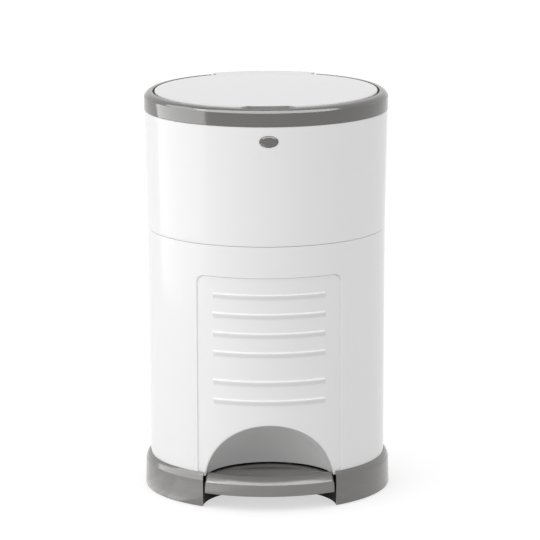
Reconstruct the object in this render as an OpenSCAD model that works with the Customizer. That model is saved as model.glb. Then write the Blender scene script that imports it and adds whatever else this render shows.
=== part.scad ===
// Pedal bin for nappies: a tapered two-part body on a skirt, with a lidded rim,
// a sprung trap over a film cassette, and a foot pedal that lifts the lid.
// The front faces -Y and the bin stands on its rubber feet at z = 0.

/* [Body] */
// Outer diameter of the body at the opening seam
seam_d = 292.8; // [270:0.2:310]
// How much wider the body is under the rim ring than at the seam
top_flare = 6.2; // [4:0.1:8]
// How much narrower the body is at the skirt than at the seam
foot_taper = 2.4; // [1:0.1:4]
// Height of the seam where the top section opens
seam_z = 326; // [300:1:350]
// Height of the top section from the seam to the rim ring
top_section_h = 146; // [140:1:160]
// Thickness of the moulded walls
wall = 2.6; // [2.3:0.1:2.9]
// Width of the visible seam between the two body parts
seam_gap = 0.6; // [0.4:0.1:1]
// Height of the lip that centres the top section
lip_h = 5; // [3:0.5:7]

/* [Front panel] */
// Width of the shallow panel, measured straight across
panel_w = 174.8; // [165:1:185]
// Distance of the panel's top edge below the seam
panel_drop = 38.6; // [30:0.2:50]
// Depth of the panel
panel_depth = 1; // [0.6:0.1:1.3]
// Radius of the panel's corners
panel_corner = 9.5; // [6:0.5:14]
// Half of the angle that each rib spans
rib_angle = 28; // [20:1:32]
// Height of one rib
rib_h = 4.5; // [3:0.5:6]
// How far a rib stands out of the panel
rib_proud = 1.7; // [1:0.1:2.2]
// Pitch of the ribs in a group
rib_pitch = 23.8; // [20:0.1:25]
// Distance of the upper group's top rib below the panel's top edge
upper_rib_drop = 21.7; // [16:0.1:28]
// Distance from the upper group's top rib to the lower group's
rib_group_step = 106.9; // [100:0.1:112]
// Ribs in the upper group
upper_ribs = 4; // [3:1:4]
// Ribs in the lower group
lower_ribs = 2; // [1:1:2]

/* [Skirt and base] */
// How much wider the skirt is at its foot than the body above it
skirt_flare = 13; // [12:0.2:16]
// Height of the skirt's crest
skirt_top = 42; // [41:0.5:44]
// Draught of the skirt's outer wall
skirt_draught = 0.5; // [0.2:0.1:1]
// Gap between the skirt's foot and the ground
skirt_lift = 1; // [0.5:0.1:2]
// Thickness of the rubber feet
foot_h = 3; // [2.4:0.2:4]
// Radius of one rubber foot
foot_r = 9; // [7:0.5:10]
// Distance of the feet's centres inside the skirt's outer face
foot_inset = 19.7; // [18:0.1:26]
// Thickness of the base plate
plate_t = 3; // [2.4:0.2:4]
// Thickness of the bin's floor
floor_t = 2.5; // [2:0.1:3]

/* [Toe recess and pedal] */
// Radius of the domed toe recess
toe_r = 80; // [77:0.5:82]
// Height of the recess's centre
toe_z = 25; // [22:0.5:28]
// Distance of the recess's centre inside the body's outer face
toe_inset = 13.2; // [11:0.1:15]
// How far the pedal's rear edge lies inside the recess
pedal_inset = 1; // [0.5:0.1:3]
// Gap between the pedal and the well
pedal_gap = 2.5; // [2:0.1:3.5]
// Height of the tread's upper face
tread_top = 35.5; // [34:0.5:37]
// Height of the tread's lower edge
tread_bottom = 18; // [17:0.5:20]
// Thickness of the tread's walls
tread_wall = 3; // [2.5:0.1:3.5]
// Depth of the dish in the tread
dish_depth = 1.2; // [0.6:0.1:1.8]
// Distance of the pedal's pivot in front of the bin's axis
pivot_y = 28; // [26:0.5:32]
// Height of the pedal's pivot
pivot_z = 22; // [21:0.5:23]
// Radius of the pedal's pivot pin
pivot_r = 2.5; // [2:0.1:3]
// Distance of each lever arm's inner face from the middle
arm_x = 22; // [20:0.5:24]
// Width of one lever arm
arm_w = 12; // [9:0.5:13]
// Height of the lever arms' top at the back
arm_top = 24; // [23:0.5:25]
// Depth of the lever arms
arm_h = 10; // [8:0.5:11]

/* [Lift rods] */
// Distance of the rods inside the body's outer face
rod_inset = 15.4; // [15:0.1:16.4]
// Width of the rods
rod_w = 10; // [8:0.5:11]
// Thickness of the rods
rod_t = 5; // [4:0.5:5.5]
// Gap between the lever and the lower rod
rod_gap = 0.4; // [0.3:0.1:0.6]
// Side gap of the rods in their guides
rod_play = 0.3; // [0.2:0.05:0.5]

/* [Rim and lid] */
// How far the rim ring stands out past the body
rim_overhang = 0.5; // [0.2:0.1:1]
// Height of the rim ring
rim_h = 24; // [23:0.5:25]
// Width of the rim ring from its outer face to the lid's gap
rim_width = 10.6; // [10:0.1:11]
// Gap between the lid and the rim
lid_gap = 2.4; // [1.8:0.1:2.8]
// Crown of the lid above its edge
lid_crown = 1.6; // [1:0.1:1.8]
// Half width of the finger slot
slot_half_w = 31; // [26:1:36]
// Depth of the finger slot into the lid's edge
slot_depth = 4.7; // [4:0.1:6]
// Half width of the lid's hinge tab
tab_half_w = 64.5; // [58:0.5:66]
// Distance of the hinge tab's rear edge inside the rim's outer face
tab_inset = 2; // [1:0.2:3]
// Rise of the hinge tab above the rim
tab_rise = 1.4; // [1:0.1:2]
// Distance of the lid's hinge inside the rim's outer face
lid_hinge_inset = 10; // [9.6:0.1:10.4]
// Depth of the lid's hinge below the rim's top
lid_hinge_drop = 12; // [11.6:0.1:12.2]
// Radius of the lid's crank
crank_r = 12; // [11:0.5:12.5]
// Angle of the crank below level when the lid is shut
crank_angle = 40; // [38:1:41]

/* [Hinge parts] */
// Radius of the hinge knuckles
knuckle_r = 4.5; // [4:0.1:4.8]
// Radius of the hinge pins
pin_r = 1.6; // [1.4:0.1:1.9]
// Half length of the top section's middle knuckle
knuckle_half_w = 21.4; // [18:0.2:23]
// Width of each outer knuckle of the top section's hinge
outer_knuckle_w = 12; // [9:0.5:13]

/* [Button and latch] */
// Distance of the button's centre below the rim ring
button_drop = 17.7; // [15:0.1:24]
// Width of the button
button_w = 23; // [20:0.5:26]
// Height of the button
button_h = 14; // [12:0.5:16]
// How far the button stands out of the shell
button_proud = 1.8; // [1.2:0.1:2.2]
// Height of the latch lever's pivot above the seam
latch_rise = 64; // [60:1:70]
// Distance of the latch lever inside the body's outer face
latch_inset = 11.9; // [11.4:0.1:13.4]
// Thickness of the latch lever
latch_t = 3; // [2.5:0.1:3.5]
// Width of the latch lever
latch_w = 14; // [11:0.5:15]
// Radius of the latch pin
latch_pin_r = 1.5; // [1.2:0.1:1.8]

/* [Trap and cassette] */
// Inner radius of the throat
throat_r = 72; // [68:0.5:73]
// Distance of the throat's lower edge below the rim ring
throat_drop = 22; // [20:1:26]
// Thickness of a trap door
door_t = 2.5; // [2:0.1:3]
// Distance of a trap door's hinge outside the throat
door_hinge_out = 8; // [7:0.5:9]
// Height of the shelf that carries the cassette above the seam
shelf_rise = 42; // [38:1:46]
// Thickness of the shelf
shelf_t = 3; // [2.4:0.2:4]
// Distance of the cassette inside the body's outer face
cassette_inset = 22.4; // [21.4:0.1:26]
// Width of the cassette's ring
cassette_w = 32; // [26:0.5:33]
// Height of the cassette
cassette_h = 62; // [54:1:64]

/* [Clearances] */
// Gap between parts that seat on each other
seat = 0.2; // [0.1:0.05:0.3]
// Gap between parts that pass each other
clear = 0.3; // [0.25:0.05:0.5]
// Radial clearance of a running pin
run = 0.05; // [0.02:0.01:0.09]

/* [Hidden] */
$fn = 96;

white = [0.93, 0.93, 0.92];
grey = [0.52, 0.51, 0.5];
dark = [0.25, 0.25, 0.26];
steel = [0.75, 0.76, 0.78];

seam_r = seam_d / 2;
body_top_r = seam_r + top_flare / 2;
body_bottom_r = seam_r - foot_taper / 2;
skirt_r = body_bottom_r + skirt_flare / 2;
rim_r = body_top_r + rim_overhang;
rim_z = seam_z + top_section_h;
far = 200;                                  // past every outer surface

panel_top = seam_z - panel_drop;
upper_rib_z = panel_top - upper_rib_drop;
lower_rib_z = upper_rib_z - rib_group_step;
foot_ring_r = skirt_r - foot_inset;
toe_y = body_bottom_r - toe_inset;
pedal_r = toe_r - pedal_inset;
rod_y = seam_r - rod_inset;

// Outer radius of the body at a height
function lower_r(z) = body_bottom_r + (seam_r - body_bottom_r) * (z - skirt_top) / (seam_z - skirt_top);
function upper_r(z) = seam_r + (body_top_r - seam_r) * (z - seam_z) / (rim_z - seam_z);
// Points of an arc in the r-z plane
function arc(c, r, a0, a1, n) =
    [for (i = [0 : n]) let (a = a0 + (a1 - a0) * i / n) c + r * [cos(a), sin(a)]];

plate_z = foot_h;
plate_top = plate_z + plate_t;
well_r = pedal_r + pedal_gap;               // clear radius of the pedal well
well_wall = 2.5;
well_top = tread_top + 1.5;
dome_low = well_top + clear;                // where the recess's dome starts
floor_z = skirt_top + 2;
floor_top = floor_z + floor_t;
ledge_h = 2.5;                              // ledge that carries the floor
ledge_w = 3;
skirt_wall = 2.8;
skirt_crest_r = lower_r(skirt_top) + clear;
seam_low = seam_z - seam_gap / 2;
seam_high = seam_z + seam_gap / 2;
lip_t = 2.1;
lip_r = seam_r - wall - 0.5;                // the lip's outer radius, inside the top section

// Hinge of the top section, on the body's outer surface at the seam
hinge_y = seam_r;
outer_x0 = knuckle_half_w + 2 * clear;
outer_x1 = outer_x0 + outer_knuckle_w;
gusset_h = 13;
gusset_t = 7;

// Screws
screw_r = 1.5;
screw_head_r = 3.2;
screw_head_h = 1.4;
post_r = 4.3;
screw_bite = 10;                            // thread of a base screw in its post
post_bite = 1.3;                            // how far a post runs into the wall
post_ring_r = lower_r(skirt_top) - wall - post_r + post_bite;
post_angles = [35, 145, 215, 325];
foot_angles = [15, 90, 165, 222, 318];

// Pedal lever
dish_r = pedal_r * 0.5;
arm_x1 = arm_x + arm_w;
arm_bottom = arm_top - arm_h;
arm_front = toe_y - 17;                     // front end of the arms, under the tread
arm_step = pivot_y + 28;                    // where the arms rise into the tread
tread_in_z = tread_top - 4.5;               // underside of the tread's top
arm_rise_top = tread_in_z - seat;
arm_rear = rod_y + rod_t;
boss_r = 6;
lug_x0 = arm_x1 + 4;
lug_x1 = lug_x0 + 6;
pedal_screw_y = [toe_y - 37, toe_y - 62];

// Lid hinge and crank
rim_top = rim_z + rim_h;
rim_inner_r = rim_r - rim_width;
tab_r = rim_r - tab_inset;
lid_hinge_y = rim_r - lid_hinge_inset;
lid_hinge_z = rim_top - lid_hinge_drop;
notch_half_w = tab_half_w + 1.5;            // cut in the rim for the tab's sweep
notch_z = lid_hinge_z - 8;
notch_y = lid_hinge_y - 40;
crank_y = lid_hinge_y - crank_r * cos(crank_angle);
crank_z = lid_hinge_z - crank_r * sin(crank_angle);
crank_far_y = lid_hinge_y - crank_r;        // furthest forward the crank pin gets
crank_pin_r = 2;
crank_x0 = 6;
crank_x1 = 12;
inner_knuckle = [13, 19];
bracket_lug = [19.6, 26.4];
outer_knuckle = [27, 34];
bracket_half_w = 30;
bracket_foot_w = 14;
bracket_low = rim_z - 32;
bracket_foot_z = [rim_z - 30, rim_z - 16];
yoke_play = 0.4;
yoke_wall = 2.5;
yoke_half_w = 4;

// Rim and lid heights
ledge_z = rim_top - 10;                     // upper face of the rim's ledge
ledge_t = 2.5;
rim_ledge_r = rim_inner_r - 14.4;
lid_r = rim_inner_r - lid_gap;
lid_low = rim_top - 7.5;
lid_edge_z = rim_top - 1.2;
lid_top_z = lid_edge_z + lid_crown;
lid_skin = 2.6;
lid_band_r = rim_ledge_r;                   // inside of the lid's thick edge band
lid_plate_t = 2;
lid_plate_z = lid_low - 1;
lid_screw_ring_r = rim_ledge_r - 15;
seal_r = [rim_ledge_r + 2, rim_ledge_r + 6];
tab_top = rim_top + tab_rise;
tab_lip_z = lid_hinge_z + 8;
spigot_t = 2.6;
spigot_r = rim_r - 2.8 - seat;              // the shell's spigot inside the rim
spigot_top = ledge_z - ledge_t - 2.5;

// Latch
button_z = rim_z - button_drop;
latch_z = seam_z + latch_rise;
latch_y = seam_r - latch_inset;
latch_out = latch_y + latch_t / 2;          // faces of the lever, measured forwards
latch_in = latch_y - latch_t / 2;
striker_y = latch_in - 1.5;
striker_z = seam_z - 4.7;
striker_h = 3.4;
nose_z = striker_z - 5.3;
cheek_x0 = latch_w / 2 + 2;
cheek_x1 = cheek_x0 + 2.5;
latch_lug_x0 = latch_w / 2 + 1;
latch_lug_x1 = latch_lug_x0 + 4;
latch_spring_z = seam_z + 24;

// Guide of the upper rod
guide_low = latch_z + 8;
guide_high = rim_z - 30;
guide_h = 6;
guide_back = 6;                             // gap behind the rod inside its guide
button_y = upper_r(button_z) + button_proud;
button_flange = 2;
button_flange_y = upper_r(button_z) - wall - 1.2;

// Trap
throat_z = rim_z - throat_drop;
door_hinge_x = throat_r + door_hinge_out;
throat_wall = 3;
door_r = throat_r + 2.5;
door_z = throat_z - 1 - door_t;
door_knuckle_r = 3.2;
door_hinge_z = door_z - 0.5;
door_pin_r = 1.2;
door_arm_half_w = 14;
door_lug_w = 4;
flange_z = spigot_top;
flange_t = 2.3;
flange_r = spigot_r - 0.5;
cone_r = rim_ledge_r - 7;
fence_t = 2;

// Cassette
cassette_outer_r = seam_r - cassette_inset;
cassette_inner_r = cassette_outer_r - cassette_w;
shelf_z = seam_z + shelf_rise;
shelf_top = shelf_z + shelf_t;
cutter_y = cassette_outer_r - 18;
shelf_inner_r = cassette_inner_r + 4;
tub_z = shelf_top + seat;
tub_wall = 2;
cap_t = 2.7;
tub_top = tub_z + cassette_h - cap_t;

module block(x, y, z)
    translate([x[0], y[0], z[0]]) cube([x[1] - x[0], y[1] - y[0], z[1] - z[0]]);

module both_sides() {
    children();
    mirror([1, 0, 0]) children();
}

module rod_x(r, x0, x1, y, z)
    translate([x0, y, z]) rotate([0, 90, 0]) cylinder(r = r, h = x1 - x0);

module rod_along_y(r, y0, y1, x, z)
    translate([x, y1, z]) rotate([90, 0, 0]) cylinder(r = r, h = y1 - y0);

module upright(r, x, y, z0, z1)
    translate([x, y, z0]) cylinder(r = r, h = z1 - z0);

module ring(r_out, r_in, z0, z1)
    difference() {
        upright(r_out, 0, 0, z0, z1);
        upright(r_in, 0, 0, z0 - 1, z1 + 1);
    }

// Solid cone of the lower or upper body, inset from its outer surface
module lower_cone(inset, z0, z1)
    rotate_extrude() polygon([[0, z0], [lower_r(z0) - inset, z0], [lower_r(z1) - inset, z1], [0, z1]]);

module upper_cone(inset, z0, z1)
    rotate_extrude() polygon([[0, z0], [upper_r(z0) - inset, z0], [upper_r(z1) - inset, z1], [0, z1]]);

// Coil spring along Z, its wire's ends cut square
module coil(mean_r, wire_r, length, turns) {
    sides = 6;
    steps = 10 * turns;
    points = [for (i = [0 : steps]) for (j = [0 : sides - 1])
        let (a = 36 * i, r = mean_r + wire_r * cos(60 * j))
        [r * cos(a), r * sin(a), length * i / steps + wire_r * sin(60 * j)]];
    walls = [for (i = [0 : steps - 1]) for (j = [0 : sides - 1])
        [i * sides + j, i * sides + (j + 1) % sides, (i + 1) * sides + (j + 1) % sides, (i + 1) * sides + j]];
    first = [[for (j = [sides - 1 : -1 : 0]) j]];
    last = [[for (j = [0 : sides - 1]) steps * sides + j]];
    polyhedron(points, concat(walls, first, last), convexity = 6);
}

// ---- Lower body ----

module panel_cut()
    difference() {
        union() {
            block([-panel_w / 2, panel_w / 2], [-far, -seam_r / 2], [0, panel_top - panel_corner]);
            block([-panel_w / 2 + panel_corner, panel_w / 2 - panel_corner],
                  [-far, -seam_r / 2], [0, panel_top]);
            both_sides() rod_along_y(panel_corner, -far, -seam_r / 2,
                                     panel_w / 2 - panel_corner, panel_top - panel_corner);
        }
        lower_cone(panel_depth, -1, panel_top + 1);
    }

module rib(z) {
    outer = lower_r(z) - panel_depth + rib_proud;
    inner = lower_r(z) - (panel_depth + wall) / 2;
    rotate([0, 0, 270 - rib_angle])
        rotate_extrude(angle = 2 * rib_angle)
            polygon([[inner, z - rib_h / 2], [outer, z - rib_h / 2], [outer, z + rib_h / 2], [inner, z + rib_h / 2]]);
}

module ribs() {
    for (i = [0 : upper_ribs - 1]) rib(upper_rib_z - i * rib_pitch);
    for (i = [0 : lower_ribs - 1]) rib(lower_rib_z - i * rib_pitch);
}

module toe_dome(extra) translate([0, -toe_y, toe_z]) rotate(-90) sphere(r = toe_r + extra);

module well(r, z0, z1) upright(r, 0, -toe_y, z0, z1);

module lower_shell() color(white) difference() {
    union() {
        difference() {
            rotate_extrude() polygon([
                [lower_r(plate_top), plate_top], [lower_r(seam_low), seam_low], [lip_r, seam_low],
                [lip_r, seam_z + lip_h], [lip_r - lip_t, seam_z + lip_h],
                [lip_r - lip_t, seam_z - lip_h], [lower_r(seam_z - 3 * lip_h) - wall, seam_z - 3 * lip_h],
                [lower_r(plate_top) - wall, plate_top]]);
            panel_cut();
        }
        ribs();
        intersection() {
            toe_dome(wall);
            lower_cone((panel_depth + wall) / 2, dome_low, panel_top);
        }
        difference() {
            lower_cone(wall - seat, floor_z - ledge_h, floor_z);
            upright(lower_r(floor_z) - wall - ledge_w, 0, 0, 0, floor_top);
        }
        for (a = post_angles) rotate(a) upright(post_r, post_ring_r, 0, plate_top + clear, floor_z - 0.5);
        both_sides() {
            rod_x(knuckle_r, outer_x0, outer_x1, hinge_y, seam_z);
            block([outer_x0, outer_x1], [hinge_y - gusset_t / 2 - 2, hinge_y + gusset_t / 4],
                  [seam_low - gusset_h, seam_low]);
        }
    }
    toe_dome(0);
    well(well_r + well_wall + clear, 0, dome_low);
    rod_x(knuckle_r + 0.5, -outer_x0 + clear, outer_x0 - clear, hinge_y, seam_z);
    // the lip stops short of the hinge
    difference() {
        block([-outer_x1 - 4, outer_x1 + 4], [0, hinge_y + knuckle_r + 1], [seam_low, seam_z + 2 * lip_h]);
        both_sides() rod_x(knuckle_r, outer_x0, outer_x1, hinge_y, seam_z);
    }
    rod_x(pin_r + run, -far, far, hinge_y, seam_z);
    for (a = post_angles) rotate(a) upright(screw_r + run, post_ring_r, 0, 0, plate_top + screw_bite + 2);
}

module bin_floor() color(grey) difference() {
    lower_cone(wall + clear, floor_z, floor_top);
    toe_dome(wall + clear);
    block([-rod_w / 2 - 2, rod_w / 2 + 2], [rod_y - rod_t / 2 - 2, rod_y + rod_t / 2 + 2], [0, far]);
}

module base_skirt() color(grey) difference() {
    union() {
        difference() {
            rotate_extrude() polygon(concat(
                [[skirt_r, skirt_lift], [skirt_r - skirt_draught, skirt_top - 12]],
                arc([skirt_r - skirt_draught - 6, skirt_top - 8], 6, 8, 72, 5),
                [[skirt_crest_r + 0.9, skirt_top], [skirt_crest_r, skirt_top - 0.6],
                 [skirt_crest_r, skirt_top - 3], [skirt_r - skirt_wall - 0.8, skirt_top - 7],
                 [skirt_r - skirt_wall, skirt_top - 12], [skirt_r - skirt_wall, skirt_lift]]));
            well(well_r, -1, far);
        }
        intersection() {
            difference() {
                well(well_r + well_wall, skirt_lift, well_top);
                well(well_r, -1, far);
            }
            upright(skirt_r - 1, 0, 0, 0, well_top);
            union() {
                upright(lower_r(well_top) - wall, 0, 0, 0, well_top);
                upright(skirt_r - 1, 0, 0, 0, well_top - 3);
            }
        }
    }
    both_sides() block([arm_x - 1.5, arm_x1 + 1.5], [-toe_y, 0], [arm_bottom - 8, well_top - 6]);
}

module base_plate() color(dark) difference() {
    union() {
        difference() {
            upright(skirt_r - skirt_wall - clear, 0, 0, plate_z, plate_top);
            well(well_r + well_wall + clear, -1, far);
        }
        both_sides() {
            block([lug_x0, lug_x1], [-pivot_y - 7, -pivot_y + 7], [plate_top - 1, pivot_z]);
            rod_x(7, lug_x0, lug_x1, -pivot_y, pivot_z);
        }
    }
    rod_x(pivot_r + run, -far, far, -pivot_y, pivot_z);
    for (a = post_angles) rotate(a) upright(screw_r + 0.3, post_ring_r, 0, 0, far);
}

module rubber_feet() color(dark)
    for (a = foot_angles) rotate(a) upright(foot_r, foot_ring_r, 0, 0, foot_h);

module base_screws() color(steel)
    for (a = post_angles) rotate(a) {
        upright(screw_head_r, post_ring_r, 0, plate_z - screw_head_h, plate_z);
        upright(screw_r, post_ring_r, 0, plate_z - screw_head_h, plate_top + screw_bite);
    }

module pedal_pivot_pin() color(steel) rod_x(pivot_r, -lug_x1 - 1, lug_x1 + 1, -pivot_y, pivot_z);

module pedal_spring() color(steel)
    translate([-9, -pivot_y, pivot_z]) rotate([0, 90, 0]) coil(pivot_r + 1.1, 0.6, 18, 6);

module rod_channel() color(grey) difference() {
    intersection() {
        block([-rod_w / 2 - 4, rod_w / 2 + 4], [rod_y - rod_t / 2 - 6, far], [floor_top, seam_z - lip_h - 3]);
        lower_cone(wall + seat, 0, seam_z - 3 * lip_h);
    }
    block([-rod_w / 2 - 2, rod_w / 2 + 2], [rod_y - rod_t / 2 - 4, far], [0, far * 2]);
}

module latch_striker() color(steel) intersection() {
    union() {
        block([-cheek_x1, cheek_x1], [-striker_y, -striker_y + 3], [striker_z, striker_z + striker_h]);
        both_sides() {
            block([cheek_x0, cheek_x1], [-far, -striker_y + 3], [striker_z - 2, striker_z + striker_h]);
            block([cheek_x0, cheek_x1 + 5], [-far, -lip_r + lip_t + 3], [striker_z - 4, striker_z + 8]);
        }
    }
    translate([0, 0, seam_z - lip_h]) cylinder(r = lip_r - lip_t - seat / 2, h = 2 * lip_h, $fn = 360);
    block([-far, far], [-far, 0], [seam_z - lip_h, seam_z + lip_h]);
}

module top_hinge_pin() color(steel) rod_x(pin_r, -outer_x1, outer_x1, hinge_y, seam_z);

// ---- Pedal ----

module tread_blank() intersection() {
    well(pedal_r, tread_bottom, tread_top);
    rotate_extrude() polygon(concat(
        [[0, tread_bottom], [skirt_r - 0.3, tread_bottom], [skirt_r - 0.6, tread_top - 3.5]],
        arc([skirt_r - 4.1, tread_top - 3.5], 3.5, 18, 90, 4), [[0, tread_top]]));
}

module pedal_tread() color(grey) difference() {
    tread_blank();
    intersection() {
        well(pedal_r - tread_wall, 0, tread_in_z);
        upright(skirt_r - tread_wall - 0.6, 0, 0, 0, tread_in_z);
    }
    // shallow dish in the middle of the tread
    translate([0, -toe_y + 22, tread_top]) rotate_extrude() polygon([
        [0, -dish_depth], [dish_r / 3, -dish_depth * 8 / 9], [dish_r * 2 / 3, -dish_depth * 5 / 9],
        [dish_r, 0], [dish_r, 1], [0, 1]]);
    both_sides() {
        block([arm_x - clear, arm_x1 + clear], [-toe_y + 20, 0], [0, tread_in_z]);
        for (y = pedal_screw_y) upright(screw_r + run, (arm_x + arm_x1) / 2, -y, 0, tread_in_z + 2.5);
    }
}

module pedal_lever() color(dark) difference() {
    union() {
        both_sides() {
            block([arm_x, arm_x1], [-arm_step, arm_rear], [arm_bottom, arm_top]);
            block([arm_x, arm_x1], [-arm_front, -arm_step + 4], [tread_bottom - 1, arm_rise_top]);
            rod_x(boss_r, arm_x, arm_x1, -pivot_y, pivot_z);
        }
        block([-arm_x1, arm_x1], [arm_rear - 2 * rod_t, arm_rear], [arm_bottom, arm_top]);
        block([-arm_x1, arm_x1], [-pivot_y + boss_r + 1, -pivot_y + boss_r + 5], [arm_bottom, arm_top]);
    }
    rod_x(pivot_r + run, -far, far, -pivot_y, pivot_z);
    both_sides() for (y = pedal_screw_y) upright(screw_r + run, (arm_x + arm_x1) / 2, -y, 0, far);
}

module pedal_screws() color(steel) both_sides() for (y = pedal_screw_y) {
    upright(screw_r, (arm_x + arm_x1) / 2, -y, tread_bottom - 1, tread_in_z + 2);
    upright(screw_head_r, (arm_x + arm_x1) / 2, -y, tread_bottom - 1 - screw_head_h, tread_bottom - 1);
}

module lower_rod() color(steel) {
    block([-rod_w / 2, rod_w / 2], [rod_y - rod_t / 2, rod_y + rod_t / 2], [arm_top + rod_gap + rod_t / 2, seam_z]);
    rod_x(rod_t / 2, -rod_w / 2, rod_w / 2, rod_y, arm_top + rod_gap + rod_t / 2);
}

// ---- Top section ----

module ellipse_y(w, h, y0, y1, z)
    translate([0, y1, z]) rotate([90, 0, 0]) linear_extrude(y1 - y0)
        polygon([for (i = [0 : 47]) [w / 2 * cos(7.5 * i), h / 2 * sin(7.5 * i)]]);

module upper_shell() color(white) difference() {
    union() {
        rotate_extrude() polygon([
            [upper_r(seam_high), seam_high], [body_top_r, rim_z], [spigot_r, rim_z], [spigot_r, spigot_top],
            [spigot_r - spigot_t, spigot_top], [spigot_r - spigot_t, rim_z - 4],
            [upper_r(rim_z - 10) - wall, rim_z - 10], [upper_r(seam_high) - wall, seam_high]]);
        rod_x(knuckle_r, -knuckle_half_w, knuckle_half_w, hinge_y, seam_z);
        block([-knuckle_half_w, knuckle_half_w], [hinge_y - gusset_t / 2 - 2, hinge_y + gusset_t / 4],
              [seam_high, seam_high + gusset_h]);
        intersection() {
            both_sides() block([latch_lug_x0, latch_lug_x1], [-far, -latch_in + 3], [latch_z - 5, latch_z + 5]);
            upper_cone(wall / 2, latch_z - 6, latch_z + 6);
        }
    }
    ellipse_y(button_w + 2 * clear, button_h + 2 * clear, -far, -button_flange_y + 2, button_z);
    rod_x(latch_pin_r + run, -latch_lug_x1 - 1, latch_lug_x1 + 1, -latch_y, latch_z);
    both_sides() rod_x(knuckle_r + 0.5, outer_x0 - clear, outer_x1 + clear, hinge_y, seam_z);
    rod_x(pin_r + run, -far, far, hinge_y, seam_z);
    block([-notch_half_w, notch_half_w], [notch_y, far], [notch_z, far * 3]);
}

module rim_ring() color(grey) difference() {
    rotate_extrude() polygon(concat(
        [[rim_r, rim_z + seat], [rim_r, rim_top - 9.3]],
        arc([rim_r - 4.5, rim_top - 9.3], 4.5, 10, 56, 5),
        [[rim_r - 6.5, rim_top - 1.5]],
        arc([rim_inner_r + 2.2, rim_top - 2], 2, 60, 110, 3),
        [[rim_inner_r, rim_top - 1], [rim_inner_r, ledge_z], [rim_ledge_r, ledge_z],
         [rim_ledge_r, ledge_z - ledge_t], [rim_inner_r + 2.5, ledge_z - ledge_t],
         [rim_inner_r + 5, rim_top - 6], [spigot_r + seat, rim_top - 10], [spigot_r + seat, rim_z + seat]]));
    // scoop for the fingers, opposite the slot in the lid
    intersection() {
        upright(rim_inner_r + 1.5, 0, 0, ledge_z, far * 3);
        block([-slot_half_w, slot_half_w], [-far, 0], [ledge_z, far * 3]);
    }
    block([-notch_half_w, notch_half_w], [notch_y, far], [notch_z, far * 3]);
}

module funnel_insert() color(grey) difference() {
    union() {
        difference() {
            rotate_extrude() polygon([
                [flange_r, flange_z], [flange_r, flange_z + flange_t], [cone_r, flange_z + flange_t],
                [throat_r, throat_z + 7], [throat_r, throat_z], [throat_r + throat_wall, throat_z],
                [throat_r + throat_wall, throat_z + 5], [cone_r + 2, flange_z]]);
            block([-notch_half_w, notch_half_w], [cone_r, far], [flange_z - 1, far * 3]);
        }
        intersection() {
            block([-notch_half_w + 6, notch_half_w - 6], [cone_r - fence_t - 4, cone_r - 4],
                  [flange_z - 1, lid_plate_z - 0.7]);
            upright(seal_r[0] - 1, 0, 0, flange_z - 4, far * 3);
        }
        both_sides() for (s = [-1, 1]) {
            y0 = s > 0 ? door_arm_half_w + 1 : -door_arm_half_w - 1 - door_lug_w;
            block([door_r + 1.5, door_hinge_x + door_knuckle_r], [y0, y0 + door_lug_w],
                  [door_hinge_z - door_knuckle_r, throat_z + 9]);
        }
    }
    both_sides() rod_along_y(door_pin_r + run, -far, far, door_hinge_x, door_hinge_z);
}

module throat_seal() color(dark) rotate_extrude()
    polygon([[throat_r - seat, throat_z + 1], [throat_r - seat, throat_z + 4], [throat_r - 1.5, throat_z + 4],
             [throat_r - 4, throat_z + 0.4], [throat_r - 3, throat_z]]);

module cassette_shelf() color(white) difference() {
    upper_cone(wall + seat / 2, shelf_z, shelf_top);
    upright(shelf_inner_r, 0, 0, 0, far * 3);
    block([-latch_lug_x1 - 2, latch_lug_x1 + 2], [-far, -cassette_outer_r - 2], [0, far * 3]);
    block([-rod_w / 2 - 4, rod_w / 2 + 4], [cassette_outer_r, far], [0, far * 3]);
}

module cassette_tub() color([0.8, 0.85, 0.88]) rotate_extrude() polygon([
    [cassette_inner_r, tub_z], [cassette_outer_r, tub_z], [cassette_outer_r, tub_top],
    [cassette_outer_r - tub_wall, tub_top], [cassette_outer_r - tub_wall, tub_z + tub_wall],
    [cassette_inner_r + tub_wall, tub_z + tub_wall], [cassette_inner_r + tub_wall, tub_top - 6],
    [cassette_inner_r, tub_top - 6]]);

module cassette_cap() color([0.8, 0.85, 0.88]) rotate_extrude() polygon([
    [cassette_inner_r + tub_wall + 1, tub_top + seat], [cassette_outer_r, tub_top + seat],
    [cassette_outer_r, tub_top + cap_t], [cassette_inner_r + tub_wall + 1, tub_top + cap_t]]);

module liner_pack() color([0.9, 0.92, 0.95])
    ring(cassette_outer_r - tub_wall - 1, cassette_inner_r + tub_wall + 1, tub_z + tub_wall + clear, tub_top - 8);

module cutter_housing() color(grey) difference() {
    block([-20, 20], [cutter_y - 9, cutter_y + 9], [shelf_z - 13, shelf_z]);
    block([-16, 16], [cutter_y - 1.5, cutter_y + 1.5], [shelf_z - 14, shelf_z - 7]);
    block([-12 - seat, 12 + seat], [cutter_y - 0.3 - run, cutter_y + 0.3 + run], [shelf_z - 14, shelf_z - 2]);
}

module cutter_blade() color(steel)
    block([-12, 12], [cutter_y - 0.3, cutter_y + 0.3], [shelf_z - 11, shelf_z - 2.2]);

module latch_pin() color(steel) rod_x(latch_pin_r, -latch_lug_x1, latch_lug_x1, -latch_y, latch_z);

latch_spring_out = upper_r(latch_spring_z) - wall - 1;
module latch_spring() color(steel)
    translate([0, -latch_out - 0.9, latch_spring_z]) rotate([90, 0, 0])
        coil(3, 0.45, latch_spring_out - latch_out - 1.2, 3);

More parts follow.
